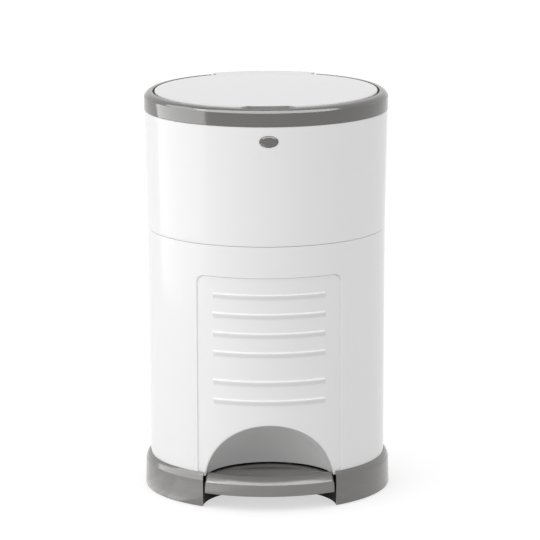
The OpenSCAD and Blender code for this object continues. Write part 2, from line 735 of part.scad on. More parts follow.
module lid_hinge_bracket() color(grey) difference() {
    union() {
        block([-bracket_half_w, bracket_half_w], [lid_hinge_y - 4, lid_hinge_y + 0.3], [bracket_low, notch_z + 2]);
        intersection() {
            both_sides() block([bracket_half_w - bracket_foot_w, bracket_half_w],
                               [lid_hinge_y - 4, far], bracket_foot_z);
            upper_cone(wall + seat / 2, bracket_low - 8, bracket_foot_z[1] + 6);
        }
        both_sides() {
            rod_x(knuckle_r, bracket_lug[0], bracket_lug[1], lid_hinge_y, lid_hinge_z);
            block(bracket_lug, [lid_hinge_y - knuckle_r, lid_hinge_y + knuckle_r], [notch_z + 0.5, lid_hinge_z]);
        }
    }
    block([-crank_x1 - 1, crank_x1 + 1], [0, far], [notch_z - 10, far * 3]);
    block([-rod_w / 2 - 5, rod_w / 2 + 5], [0, far], [0, bracket_foot_z[1]]);
    rod_x(pin_r + run, -far, far, lid_hinge_y, lid_hinge_z);
}

module lid_hinge_pin() color(steel) rod_x(pin_r, -outer_knuckle[1], outer_knuckle[1], lid_hinge_y, lid_hinge_z);

module rod_guide() color(grey) difference() {
    intersection() {
        union() {
            for (z = [guide_low, guide_high])
                block([-rod_w / 2 - 4, rod_w / 2 + 4], [rod_y - rod_t / 2 - 3, far], [z, z + guide_h]);
            block([-rod_w / 2, rod_w / 2], [rod_y + rod_t / 2 + guide_back, far], [guide_low, guide_high + guide_h]);
        }
        upper_cone(wall + seat / 2, 0, rim_z);
    }
    block([-rod_w / 2 - rod_play, rod_w / 2 + rod_play],
          [rod_y - rod_t / 2 - rod_play, rod_y + rod_t / 2 + rod_play], [0, far * 3]);
}

module door_pins() color(steel) both_sides()
    rod_along_y(door_pin_r, -door_arm_half_w - 1 - door_lug_w, door_arm_half_w + 1 + door_lug_w,
                door_hinge_x, door_hinge_z);

module door_springs() color(steel) both_sides()
    translate([door_hinge_x, -4, door_hinge_z]) rotate([-90, 0, 0]) coil(door_pin_r + 0.8, 0.4, 8, 5);

// ---- Lid ----

module lid_top() color(white) difference() {
    union() {
        difference() {
            rotate_extrude() polygon(concat(
                [[0, lid_top_z - lid_skin]],
                [[0, lid_top_z], [lid_r / 3, lid_top_z - lid_crown * 0.1],
                 [lid_r * 2 / 3, lid_top_z - lid_crown * 0.45],
                 [lid_r - 6, lid_edge_z]],
                arc([lid_r - 3.2, lid_edge_z - 3.6], 3.2, 75, 0, 5),
                [[lid_r, lid_low + 2.4], [lid_r - 3.5, lid_low], [lid_band_r, lid_low],
                 [lid_band_r - 2, lid_edge_z - lid_skin]]));
            // finger slot with slanted ends
            translate([0, 0, lid_low - 1]) linear_extrude(far) polygon([
                [-slot_half_w, -far], [slot_half_w, -far], [slot_half_w, -lid_r + 1],
                [slot_half_w - slot_depth, -lid_r + slot_depth], [-slot_half_w + slot_depth, -lid_r + slot_depth],
                [-slot_half_w, -lid_r + 1]]);
        }
        intersection() {
            block([-tab_half_w, tab_half_w], [lid_r - 22, far], [tab_lip_z, tab_top]);
            upright(tab_r, 0, 0, tab_lip_z, tab_top);
            union() {
                block([-far, far], [0, far], [tab_top - lid_skin, tab_top]);
                ring(far, lid_r - 8, tab_lip_z, tab_top);
            }
        }
        both_sides() for (k = [inner_knuckle, outer_knuckle]) {
            rod_x(knuckle_r, k[0], k[1], lid_hinge_y, lid_hinge_z);
            block(k, [lid_hinge_y - knuckle_r, lid_hinge_y + knuckle_r], [lid_hinge_z, tab_top - 1]);
        }
        for (a = post_angles) rotate(a) upright(4, lid_screw_ring_r, 0, lid_plate_z + lid_plate_t, lid_edge_z - 1);
    }
    // hollow under the tab
    difference() {
        intersection() {
            block([-tab_half_w + lid_skin, tab_half_w - lid_skin], [0, far], [0, tab_top - lid_skin]);
            ring(tab_r - lid_skin, lid_r, lid_hinge_z + knuckle_r, tab_top - lid_skin);
        }
        both_sides() for (k = [inner_knuckle, outer_knuckle])
            block(k, [lid_hinge_y - knuckle_r, lid_hinge_y + knuckle_r], [0, far * 3]);
    }
    rod_x(pin_r + run, -far, far, lid_hinge_y, lid_hinge_z);
    for (a = post_angles) rotate(a) upright(screw_r + run, lid_screw_ring_r, 0, 0, lid_edge_z - 1.5);
}

module lid_inner_plate() color(grey) difference() {
    upright(lid_band_r - 1, 0, 0, lid_plate_z, lid_plate_z + lid_plate_t);
    for (a = post_angles) rotate(a) upright(screw_r + clear, lid_screw_ring_r, 0, 0, far * 3);
}

module lid_screws() color(steel) for (a = post_angles) rotate(a) {
    upright(screw_head_r, lid_screw_ring_r, 0, lid_plate_z - screw_head_h, lid_plate_z);
    upright(screw_r, lid_screw_ring_r, 0, lid_plate_z - screw_head_h, lid_edge_z - 2);
}

module lid_seal() color(dark) ring(seal_r[1], seal_r[0], ledge_z + clear, lid_low - seat / 2);

module lid_crank() color(grey) difference() {
    union() {
        both_sides() {
            rod_x(knuckle_r, crank_x0, crank_x1, lid_hinge_y, lid_hinge_z);
            rod_x(crank_pin_r + 1.7, crank_x0, crank_x1, crank_y, crank_z);
            translate([crank_x0, lid_hinge_y, lid_hinge_z]) rotate([crank_angle, 0, 0])
                block([0, crank_x1 - crank_x0], [-crank_r, 0], [-3, 3]);
            block([crank_x0, crank_x1], [lid_hinge_y - 2.2, lid_hinge_y + knuckle_r - 1],
                  [lid_hinge_z, tab_top - lid_skin - seat]);
        }
        block([-crank_x1, crank_x1], [lid_hinge_y - 2.2, lid_hinge_y + knuckle_r - 1],
              [tab_top - lid_skin - 4, tab_top - lid_skin - seat]);
        rod_x(crank_pin_r, -crank_x1, crank_x1, crank_y, crank_z);
    }
    rod_x(pin_r + run, -far, far, lid_hinge_y, lid_hinge_z);
}

// ---- Parts that move inside the top section ----

module upper_rod() color(steel) {
    yoke_y0 = crank_far_y - crank_pin_r - yoke_play - yoke_wall;
    yoke_y1 = crank_y + crank_pin_r + yoke_play + yoke_wall;
    yoke_z0 = crank_z - crank_pin_r - yoke_play - yoke_wall;
    block([-rod_w / 2, rod_w / 2], [rod_y - rod_t / 2, rod_y + rod_t / 2], [seam_z, yoke_z0 - 2]);
    difference() {
        union() {
            block([-yoke_half_w, yoke_half_w], [yoke_y0, yoke_y1], [yoke_z0, crank_z + crank_pin_r + yoke_play + yoke_wall]);
            block([-yoke_half_w, yoke_half_w], [rod_y - rod_t / 2, rod_y + rod_t / 2], [yoke_z0 - 6, yoke_z0 + 1]);
        }
        block([-far, far], [yoke_y0 + yoke_wall, yoke_y1 - yoke_wall],
              [crank_z - crank_pin_r - yoke_play, crank_z + crank_pin_r + yoke_play]);
    }
}

module release_button() color(grey) {
    plunger_r = 3;
    ellipse_y(button_w - 3, button_h - 3, -button_y, -button_y + 1, button_z);
    ellipse_y(button_w, button_h, -button_y + 0.7, -button_flange_y + 0.5, button_z);
    ellipse_y(button_w + 2 * button_flange, button_h + 2 * button_flange,
              -button_flange_y, -button_flange_y + 2, button_z);
    rod_along_y(plunger_r, -button_flange_y + 1, -latch_out - clear, 0, button_z);
}

module latch_lever() color(dark) difference() {
    union() {
        block([-latch_w / 2, latch_w / 2], [-latch_out, -latch_in], [nose_z, button_z + 5]);
        block([-latch_w / 2, latch_w / 2], [-latch_out, -striker_y - clear], [nose_z, striker_z - clear]);
        rod_x(4, -latch_w / 2, latch_w / 2, -latch_y, latch_z);
    }
    rod_x(latch_pin_r + run, -far, far, -latch_y, latch_z);
}

module trap_door() difference() {
    union() {
        intersection() {
            upright(door_r, 0, 0, door_z, door_z + door_t);
            block([0.5, far], [-far, far], [0, far * 3]);
        }
        block([throat_r - 6, door_hinge_x], [-door_arm_half_w, door_arm_half_w], [door_z, door_z + door_t]);
        rod_along_y(door_knuckle_r, -door_arm_half_w, door_arm_half_w, door_hinge_x, door_hinge_z);
    }
    rod_along_y(door_pin_r + run, -far, far, door_hinge_x, door_hinge_z);
    // room for the spring on the pin
    rod_along_y(door_knuckle_r + 1, -5, 5, door_hinge_x, door_hinge_z);
}

module trap_door_right() color(grey) trap_door();
module trap_door_left() color(grey) mirror([1, 0, 0]) trap_door();

lower_shell();
bin_floor();
base_skirt();
base_plate();
rubber_feet();
base_screws();
pedal_pivot_pin();
pedal_spring();
rod_channel();
latch_striker();
top_hinge_pin();
pedal_tread();
pedal_lever();
pedal_screws();
lower_rod();
upper_shell();
rim_ring();
funnel_insert();
throat_seal();
cassette_shelf();
cassette_tub();
cassette_cap();
liner_pack();
cutter_housing();
cutter_blade();
latch_pin();
latch_spring();
lid_hinge_bracket();
lid_hinge_pin();
rod_guide();
door_pins();
door_springs();
lid_top();
lid_inner_plate();
lid_screws();
lid_seal();
lid_crank();
upper_rod();
release_button();
latch_lever();
trap_door_left();
trap_door_right();
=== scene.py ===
"""Dresses the nappy bin: glossy white shells, grey trim, rubber, steel and the film cassette."""

import math

import bmesh
import bpy
from mathutils import Matrix, Vector


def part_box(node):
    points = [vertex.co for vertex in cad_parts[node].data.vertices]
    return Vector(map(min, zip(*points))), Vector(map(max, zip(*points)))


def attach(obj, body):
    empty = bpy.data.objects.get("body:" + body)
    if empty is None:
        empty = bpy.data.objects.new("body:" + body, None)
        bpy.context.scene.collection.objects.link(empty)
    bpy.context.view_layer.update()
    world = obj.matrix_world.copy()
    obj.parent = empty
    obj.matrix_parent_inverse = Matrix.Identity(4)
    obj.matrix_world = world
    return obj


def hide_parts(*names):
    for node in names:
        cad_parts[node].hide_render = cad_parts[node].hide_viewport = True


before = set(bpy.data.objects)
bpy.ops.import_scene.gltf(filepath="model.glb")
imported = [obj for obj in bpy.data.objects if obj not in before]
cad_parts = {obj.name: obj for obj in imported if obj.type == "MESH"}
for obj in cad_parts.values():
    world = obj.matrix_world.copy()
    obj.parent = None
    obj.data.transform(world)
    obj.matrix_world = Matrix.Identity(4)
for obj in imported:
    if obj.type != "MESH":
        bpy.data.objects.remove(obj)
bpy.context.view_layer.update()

# ---- Sizes, in metres ----

mm = 0.001
rim_low, rim_high = (corner.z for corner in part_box("rim_ring"))
skirt_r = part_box("base_skirt")[1].x
skirt_low, skirt_top = (corner.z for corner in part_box("base_skirt"))
tread_low, tread_top = (corner.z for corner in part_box("pedal_tread"))

wall = 2.6 * mm
seam_z = 326 * mm
seam_half_gap = 0.3 * mm
soft_edge = 0.5 * mm            # rounding of moulded edges
rim_z = 472 * mm
bottom_r, seam_r, top_r = 145.2 * mm, 146.4 * mm, 149.5 * mm
shell_low = 6 * mm
lip_r = 143.3 * mm
lip_top = 331 * mm

panel_half = 87.4 * mm
panel_top = 287.4 * mm
panel_depth = 1.5 * mm
panel_corner = 9.5 * mm
panel_step = 0.6 * mm           # width of the soft step round the panel
panel_gauge_z = 200 * mm        # the panel's width is taken at this height
panel_margin = 3 * mm           # room kept beside the panel's edge
rib_half_angle = math.radians(28)
rib_half_h = 2.25 * mm
rib_proud = 2.0 * mm
rib_ledge = 1.5 * mm            # height of the bright ledge along a rib's top
rib_fall = 7 * mm               # the rib dies into the panel over this much below its ledge
rib_end = 1.2 * mm              # width of the soft step at a rib's end
rib_pitch = 23.8 * mm
rib_groups = ((265.7 * mm, 4), (158.8 * mm, 2))    # top rib and number of ribs of each group
rib_heights = [top - i * rib_pitch for top, count in rib_groups for i in range(count)]

toe_r = 80 * mm
toe_y = 132 * mm
toe_z = 25 * mm
toe_fillet = 3.4 * mm
toe_bottom = 37.2 * mm
patch_top = 129 * mm            # the toe recess's own part of the front ends here
patch_low = 38 * mm

lower_level_top = 318 * mm      # the lower body's even grid ends here
relief_low = 320.6 * mm
lower_relief = 21.8 * mm        # half width of the middle knuckle's room in the lower body
lower_turn_z = 324.2 * mm       # above here the lower wall turns in to its lip
lip_gap = 38 * mm               # half width of the lip's gap at the hinge
upper_relief = (21.6 * mm, 34.4 * mm)   # sideways limits of the outer knuckles' room in the top section
upper_turn_z = 331.5 * mm
upper_level_low = 332 * mm
upper_level_top = 470 * mm
least_turn = 0.0005             # upright grid lines closer than this angle are one line

pedal_r = 79 * mm
well_r = 81.5 * mm
well_wall = 2.5 * mm
well_top = toe_bottom - 0.4 * mm
well_end = math.radians(6)      # the well's wall stops this far short of a half circle at each end
arm_x = 28 * mm                 # the well's slots for the lever's arms
arm_room = 7.5 * mm
arm_slot_y = (-60 * mm, -40 * mm)
arm_slot_z = (6 * mm, 31 * mm)
skirt_wall = 2.8 * mm
tread_front_r = skirt_r - 0.4 * mm
tread_crest = 5 * mm            # the tread's front lip stands this high over its dished part
tread_crest_r = 138.8 * mm      # from here the lip falls towards the front face
tread_fall = 8.4 * mm
tread_fall_start = 0.66         # slope at the crest, as a share of the mean
tread_edge = 1.1 * mm
tread_lip_r = 118 * mm
tread_ridge_h = 0.4 * mm
tread_wall = 3 * mm
tread_foot = 0.4 * mm           # softening along the foot of the tread's faces
tread_roof = 5 * mm             # thickness of the tread over its hollow
rear_edge = 0.8 * mm            # rounding along the tread's rear edge
dish_rim_r = 117 * mm
dish_inner_r = 112 * mm         # the grid is even from here to the rear edge
dish_run = 75 * mm
dish_end = 12 * mm              # the dish dies out over this much at the tread's ends
dish_depth = 2.4 * mm
shelf_half = 1.6 * mm           # half width of the low ridge round the dish

rim_r = 150 * mm
rim_inner_r = 139.4 * mm
rim_face_top = rim_high - 8 * mm
rim_crown_w = 8.5 * mm
rim_tilt = 3 * mm
ledge_z = 486 * mm
ledge_r = 125 * mm
ledge_wall = 2.5 * mm
rim_slack = 0.2 * mm            # the rim's skirt clears the spigot by this
spigot_r = 147 * mm
spigot_top = 481 * mm
notch_half = 66 * mm
notch_y = 100 * mm
notch_z = 476 * mm

lid_r = 137 * mm
lid_low = 488.5 * mm
lid_edge_z = 494.8 * mm
lid_crown = 1.0 * mm
lid_rise = 1.3 * mm             # the lid's face climbs this much from its front edge to its hinge
slot_half = 33 * mm
slot_depth = 7.4 * mm
slot_push = 1.8 * mm            # the rim's inner wall steps back this much behind the slot
tab_half = 64.5 * mm
tab_r = 148 * mm
tab_top = 496.7 * mm
lid_hinge = Vector((0, 140 * mm, 484 * mm))
lid_knuckles = ((13 * mm, 19 * mm), (27 * mm, 34 * mm))
post_r, post_h = 4 * mm, 4 * mm     # screw posts under the lid
post_at = Vector((110 * mm, 0, 491.5 * mm))
post_angles = [math.radians(a) for a in (35, 145, 215, 325)]

hinge = Vector((0, 146.4 * mm, 326 * mm))
knuckle_r = 4.5 * mm
middle_knuckle = 21.4 * mm
outer_knuckle = (22 * mm, 34 * mm)
knuckle_in, knuckle_out = 5 * mm, 1.8 * mm      # the knuckles' webs, before and behind the pin
knuckle_reach = 13 * mm

button_z = 454.3 * mm
button_w, button_h = 22.2 * mm, 13.4 * mm
button_proud = 1.8 * mm
button_gap = 0.35 * mm
button_roll = 0.6 * mm          # rounding of the hole's edge
flange, flange_sink = 2 * mm, 4.4 * mm
hole_half_w = 8 * mm + button_w / 2     # half sizes of the finer grid round the hole
hole_half_h = 14 * mm


def lower_radius(z):
    """Outer radius of the lower body at a height."""
    return bottom_r + (seam_r - bottom_r) * (z - skirt_top) / (seam_z - skirt_top)


def upper_radius(z):
    """Outer radius of the top section at a height."""
    return seam_r + (top_r - seam_r) * (z - seam_z) / (rim_z - seam_z)


def smooth(value):
    """Smooth step from 0 to 1."""
    t = min(1, max(0, value))
    return t * t * (3 - 2 * t)


def span(low, high, count):
    """count + 1 even values from low to high."""
    return [low + (high - low) * i / count for i in range(count + 1)]


def merged(values, least):
    """The values in order, without those that come closer than least to the one before."""
    kept = []
    for value in sorted(values):
        if not kept or value - kept[-1] > least:
            kept.append(value)
    return kept


def bisected(low, high, below):
    """The value between low and high at which below(value) stops being true."""
    for _ in range(40):
        middle = (low + high) / 2
        if below(middle):
            low = middle
        else:
            high = middle
    return middle


def around(r, angle, z):
    """Point at a radius and a height; the angle is taken from the front, about the upright axis."""
    return Vector((r * math.sin(angle), -r * math.cos(angle), z))


# ---- Mesh helpers ----

def rounded(corners, steps=4, closed=False):
    """Outline through corners (r, z, radius), each inner corner turned with an arc of its radius."""
    points = []
    count = len(corners)
    for i, (r, z, radius) in enumerate(corners):
        here = Vector((r, z))
        if radius == 0 or (not closed and i in (0, count - 1)):
            points.append(here)
            continue
        back = (Vector(corners[i - 1][:2]) - here).normalized()
        ahead = (Vector(corners[(i + 1) % count][:2]) - here).normalized()
        half = back.angle(ahead) / 2
        centre = here + (back + ahead).normalized() * radius / math.sin(half)
        first = here + back * radius / math.tan(half) - centre
        last = here + ahead * radius / math.tan(half) - centre
        turn = math.atan2(first.x * last.y - first.y * last.x, first.dot(last))
        points += [centre + Matrix.Rotation(turn * k / steps, 2) @ first for k in range(steps + 1)]
    return points


def lathe(points, steps, closed=False, centre=(0, 0, 0), start=0, sweep=math.tau):
    """Turns an outline of (r, z) points about the upright axis through centre."""
    bm = bmesh.new()
    verts = [bm.verts.new((p[0], 0, p[1])) for p in points]
    edges = [bm.edges.new(pair) for pair in zip(verts, verts[1:])]
    if closed:
        edges.append(bm.edges.new((verts[-1], verts[0])))
    bmesh.ops.rotate(bm, verts=verts, cent=(0, 0, 0), matrix=Matrix.Rotation(start, 3, "Z"))
    whole = sweep == math.tau
    bmesh.ops.spin(bm, geom=verts + edges, cent=(0, 0, 0), axis=(0, 0, 1), angle=sweep,
                   steps=steps, use_merge=whole)
    if not whole and closed:
        ends = [e for e in bm.edges if len(e.link_faces) == 1]
        bmesh.ops.holes_fill(bm, edges=ends, sides=0)
    bmesh.ops.translate(bm, verts=bm.verts, vec=centre)
    return bm


def mapped_grid(columns, rows, place):
    """A grid whose vertices are put where place(column, row) says."""
    bm = bmesh.new()
    across, up = len(columns) - 1, len(rows) - 1
    bmesh.ops.create_grid(bm, x_segments=across, y_segments=up, size=1)
    for v in bm.verts:
        column = columns[round((v.co.x + 1) / 2 * across)]
        v.co = place(column, rows[round((v.co.y + 1) / 2 * up)])
    return bm


def drop_faces(bm, unwanted):
    """Deletes each face for which unwanted(angle, middle) is true."""
    gone = []
    for face in bm.faces:
        middle = face.calc_center_median()
        if unwanted(math.atan2(middle.x, -middle.y), middle):
            gone.append(face)
    bmesh.ops.delete(bm, geom=gone, context="FACES")


def drum(radius, depth, sides, centre=(0, 0, 0)):
    """Upright cylinder."""
    bm = bmesh.new()
    bmesh.ops.create_cone(bm, cap_ends=True, segments=sides, radius1=radius, radius2=radius, depth=depth)
    bmesh.ops.translate(bm, verts=bm.verts, vec=centre)
    return bm


def laid(bm, axis, place):
    """Turns the shape a quarter about an axis and takes it to its place."""
    bmesh.ops.rotate(bm, verts=bm.verts, cent=(0, 0, 0), matrix=Matrix.Rotation(math.pi / 2, 3, axis))
    bmesh.ops.translate(bm, verts=bm.verts, vec=place)
    return bm


def barrel(x0, x1, pin):
    """Hinge barrel along X about a pin, with softened ends."""
    bm = laid(drum(knuckle_r, x1 - x0, 48), "Y", ((x0 + x1) / 2, pin.y, pin.z))
    bevel(bm, [e for e in bm.edges if any(len(f.verts) > 4 for f in e.link_faces)], soft_edge)
    return bm


def block(low, high, edge=soft_edge):
    """Box between two corners with softened edges."""
    bm = bmesh.new()
    bmesh.ops.create_cube(bm, size=1)
    low, high = Vector(low), Vector(high)
    bmesh.ops.scale(bm, verts=bm.verts, vec=high - low)
    bmesh.ops.translate(bm, verts=bm.verts, vec=(low + high) / 2)
    if edge:
        bevel(bm, bm.edges, edge)
    return bm


def bevel(bm, edges, width):
    """Rounds the edges."""
    bmesh.ops.bevel(bm, geom=list(edges), offset=width, offset_type="OFFSET", segments=3, profile=0.5,
                    affect="EDGES", material=-1, clamp_overlap=True)


def mirrored(bm):
    """Adds the mirror image across X = 0."""
    both = bmesh.ops.duplicate(bm, geom=bm.verts[:] + bm.edges[:] + bm.faces[:])
    copied = [g for g in both["geom"] if isinstance(g, bmesh.types.BMVert)]
    bmesh.ops.scale(bm, verts=copied, vec=(-1, 1, 1))
    bmesh.ops.reverse_faces(bm, faces=[g for g in both["geom"] if isinstance(g, bmesh.types.BMFace)])
    return bm


def joined(*parts):
    """One bmesh with the geometry of all the parts."""
    whole = bmesh.new()
    for part in parts:
        mesh = bpy.data.meshes.new("part")
        part.to_mesh(mesh)
        part.free()
        whole.from_mesh(mesh)
        bpy.data.meshes.remove(mesh)
    return whole


def close_up(bm):
    """Merges what coincides and points the faces outwards."""
    bmesh.ops.remove_doubles(bm, verts=bm.verts, dist=0.005 * mm)
    bmesh.ops.dissolve_degenerate(bm, edges=bm.edges, dist=0.002 * mm)
    bmesh.ops.recalc_face_normals(bm, faces=bm.faces)
    return bm


def face_outwards(bm):
    """Turns an open sheet over if its outermost face looks inwards."""
    outermost = max(bm.faces, key=lambda f: f.calc_center_median().xy.length)
    middle = outermost.calc_center_median()
    if outermost.normal.dot(Vector((middle.x, middle.y, 0))) < 0:
        bmesh.ops.reverse_faces(bm, faces=bm.faces)


def as_object(bm, name):
    """Object with the bmesh's geometry, which is freed."""
    mesh = bpy.data.meshes.new(name)
    bm.to_mesh(mesh)
    bm.free()
    obj = bpy.data.objects.new(name, mesh)
    bpy.context.scene.collection.objects.link(obj)
    return obj


def taken_back(obj):
    """The object's mesh as a bmesh; the object is removed."""
    bm = bmesh.new()
    bm.from_mesh(obj.data)
    bpy.data.objects.remove(obj)
    return bm


def settle(obj):
    """Applies the object's modifiers to its mesh."""
    bpy.context.view_layer.update()
    seen = obj.evaluated_get(bpy.context.evaluated_depsgraph_get())
    mesh = bpy.data.meshes.new_from_object(seen)
    obj.modifiers.clear()
    obj.data = mesh


def carved(bm, *cutters):
    """bm less each cutter, cut exactly."""
    body = as_object(bm, "carved_body")
    for cutter_bm in cutters:
        cutter = as_object(cutter_bm, "cutter")
        cut = body.modifiers.new("cut", "BOOLEAN")
        cut.operation = "DIFFERENCE"
        cut.solver = "EXACT"
        cut.object = cutter
        settle(body)
        bpy.data.objects.remove(cutter)
    return taken_back(body)


def put_piece(bm, name, body, material, replaced=(), crease=32):
    """Makes the piece, smooth but for its creases, and hangs it on its body."""
    obj = as_object(bm, name)
    obj.data.polygons.foreach_set("use_smooth", [True] * len(obj.data.polygons))
    obj.data.set_sharp_from_angle(angle=math.radians(crease))
    obj.data.materials.clear()
    obj.data.materials.append(material)
    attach(obj, body)
    if replaced:
        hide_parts(*replaced)


# ---- Camera, floor and light ----

def add_camera():
    """Camera in front of the bin, a little above it and turned slightly to one side."""
    distance, height = 4.5, 1.1763
    pitch, turn, roll = 0.199, math.radians(1.25), -0.0035
    focal_px, frame_px, centre_px = 3701, 540, 266.62
    lens = bpy.data.cameras.new("camera")
    lens.sensor_width = 36
    lens.lens = focal_px / frame_px * lens.sensor_width
    lens.shift_x = (frame_px / 2 - centre_px) / frame_px
    lens.clip_end = 50
    camera = bpy.data.objects.new("camera", lens)
    bpy.context.scene.collection.objects.link(camera)
    stand = Matrix.Rotation(-turn, 4, "Z") @ Matrix.Translation((0, -distance, height))
    aim = Matrix.Rotation(math.pi / 2 - pitch, 4, "X") @ Matrix.Rotation(roll, 4, "Z")
    camera.matrix_world = stand @ aim
    bpy.context.scene.camera = camera


def add_panel_light(name, gloss, size, place, target, strength):
    """Flat lamp turned to its target, hidden from the camera, and either only in reflections or never."""
    light = bpy.data.lights.new(name, "AREA")
    light.shape = "RECTANGLE"
    light.size, light.size_y = size
    light.energy = strength * size[0] * size[1] * math.pi
    lamp = bpy.data.objects.new(name, light)
    lamp.location = place
    lamp.rotation_euler = (Vector(place) - Vector(target)).to_track_quat("Z", "Y").to_euler()
    lamp.visible_diffuse = not gloss
    lamp.visible_glossy = gloss
    lamp.visible_transmission = False
    lamp.visible_camera = False
    bpy.context.scene.collection.objects.link(lamp)


def light_scene():
    """The lamps, and bright cards on the floor for the trim to mirror."""
    for lamp in LAMPS:
        add_panel_light(*lamp)
    for step, (far, share) in enumerate(FLOOR_CARDS):
        middle = (far + card_near) / 2
        add_panel_light(f"floor_card_{step}_gloss", True, (card_w, far - card_near), (card_x, middle, card_z),
                        (card_x, middle, 1), share)


def backdrop_rays(tree):
    """1 where the camera, a mirror or clear plastic sees the surround, and 0 for the light on the object."""
    rays = tree.nodes.new("ShaderNodeLightPath").outputs
    seen = maths(tree, "MAXIMUM", rays["Is Camera Ray"], rays["Is Glossy Ray"])
    return maths(tree, "MAXIMUM", seen, rays["Is Transmission Ray"])


def add_world(strength):
    """Even white surround; what is seen of it is plain white."""
    world = bpy.data.worlds.new("studio")
    bpy.context.scene.world = world
    world.use_nodes = True
    tree = world.node_tree
    tree.nodes.clear()
    mix = new_node(tree, "MixShader", Fac=backdrop_rays(tree))
    for side, level in ((1, strength), (2, 1)):
        light = new_node(tree, "Background", Color=(1, 1, 1, 1), Strength=level)
        tree.links.new(light.outputs[0], mix.inputs[side])
    new_node(tree, "OutputWorld", Surface=mix.outputs[0])


def add_floor(lift):
    """White floor; lift is added to what is seen of it, so that it meets the white surround."""
    bm = bmesh.new()
    bmesh.ops.create_circle(bm, cap_ends=True, segments=96, radius=6)
    floor = as_object(bm, "floor")
    mat, tree, shader = start_material("white_floor")
    seen = backdrop_rays(tree)
    fill(tree, shader, Base_Color=mixed(tree, seen, (0.88, 0.88, 0.88, 1), (0.5, 0.5, 0.5, 1)),
         Roughness=0.9, Specular_IOR_Level=0, Emission_Color=(1, 1, 1, 1),
         Emission_Strength=maths(tree, "MULTIPLY", seen, lift))
    floor.data.materials.append(mat)


# ---- Materials ----

def new_group(name, inputs, outputs):
    """Shader group with named colours and numbers; returns what its inside reads and fills too."""
    group = bpy.data.node_groups.new(name, "ShaderNodeTree")
    for side, labels in (("INPUT", inputs), ("OUTPUT", outputs)):
        for label in labels:
            kind = "NodeSocketColor" if "olour" in label else "NodeSocketFloat"
            group.interface.new_socket(name=label, in_out=side, socket_type=kind)
    return group, group.nodes.new("NodeGroupInput").outputs, group.nodes.new("NodeGroupOutput").inputs


def feed(tree, value, socket):
    """Gives a socket a plain value or another node's output."""
    if isinstance(value, bpy.types.NodeSocket):
        tree.links.new(value, socket)
    else:
        socket.default_value = value


def fill(tree, node, **values):
    """Feeds a node's inputs by name; _ stands for a blank."""
    for label, value in values.items():
        feed(tree, value, node.inputs[label.replace("_", " ")])


def new_node(tree, kind, **values):
    """New shader node with its inputs fed."""
    node = tree.nodes.new("ShaderNode" + kind)
    fill(tree, node, **values)
    return node


def maths(tree, operation, first, second, clamp=False):
    """Math node; each operand is a number or a socket."""
    node = new_node(tree, "Math")
    node.operation = operation
    node.use_clamp = clamp
    feed(tree, first, node.inputs[0])
    feed(tree, second, node.inputs[1])
    return node.outputs[0]


def mixed(tree, factor, first, second):
    """Mix of two colours."""
    node = new_node(tree, "Mix")
    node.data_type = "RGBA"
    fill(tree, node, Factor=factor, A=first, B=second)
    return node.outputs["Result"]


def shaded(tree, colour, factor):
    """A colour times a factor."""
    node = new_node(tree, "VectorMath")
    node.operation = "SCALE"
    fill(tree, node, Vector=colour, Scale=factor)
    return node.outputs[0]


def own_coords(tree, kind="Object"):
    """The piece's own coordinates."""
    return new_node(tree, "TexCoord").outputs[kind]


def stretched(tree, coords, scale):
    """The coordinates scaled along each axis."""
    return new_node(tree, "Mapping", Vector=coords, Scale=scale).outputs[0]


def upward(tree, vector):
    """Z of a vector."""
    return new_node(tree, "SeparateXYZ", Vector=vector).outputs["Z"]


def noise(tree, coords, scale, detail=2.0, rough=0.5):
    """Noise from 0 to 1 over the coordinates."""
    node = new_node(tree, "TexNoise", Vector=coords, Scale=scale, Detail=detail, Roughness=rough)
    return node.outputs["Fac"]


def moulded_group():
    """Moulded plastic: slow ripple, fine grain, and a faint drift of shade and of gloss."""
    group, given, out = new_group(
        "moulded_surface",
        ("Colour", "Shade drift", "Gloss", "Gloss drift", "Ripple scale", "Grain scale", "Grain share"),
        ("Colour", "Roughness", "Height"))
    coords = own_coords(group)
    drift = maths(group, "SUBTRACT", noise(group, coords, 9.0, 3.0), 0.5)
    shade = maths(group, "ADD", maths(group, "MULTIPLY", drift, given["Shade drift"]), 1.0)
    group.links.new(shaded(group, given["Colour"], shade), out["Colour"])
    patchy = maths(group, "SUBTRACT", noise(group, coords, 55.0, 4.0, 0.65), 0.5)
    uneven = maths(group, "MULTIPLY", patchy, given["Gloss drift"])
    group.links.new(maths(group, "ADD", given["Gloss"], uneven), out["Roughness"])
    ripple = noise(group, coords, given["Ripple scale"], 1.0)
    grain = noise(group, coords, given["Grain scale"], 2.0)
    fine = maths(group, "MULTIPLY", grain, given["Grain share"])
    group.links.new(maths(group, "ADD", ripple, fine), out["Height"])
    return group


def scuff_group():
    """Scuffs and settled dust in level streaks, stronger towards the foot of the bin."""
    group, given, out = new_group("foot_scuffs", ("Colour", "Dust colour", "Reach", "Amount"),
                                  ("Colour", "Mask"))
    coords = own_coords(group)
    height = maths(group, "DIVIDE", upward(group, coords), given["Reach"])
    low = maths(group, "SUBTRACT", 1.0, height, clamp=True)
    streaks = noise(group, stretched(group, coords, (1, 1, 6)), 60.0, 5.0, 0.7)
    mask = maths(group, "MULTIPLY", maths(group, "MULTIPLY", low, streaks), given["Amount"])
    dusty = mixed(group, mask, given["Colour"], given["Dust colour"])
    group.links.new(dusty, out["Colour"])
    group.links.new(mask, out["Mask"])
    return group


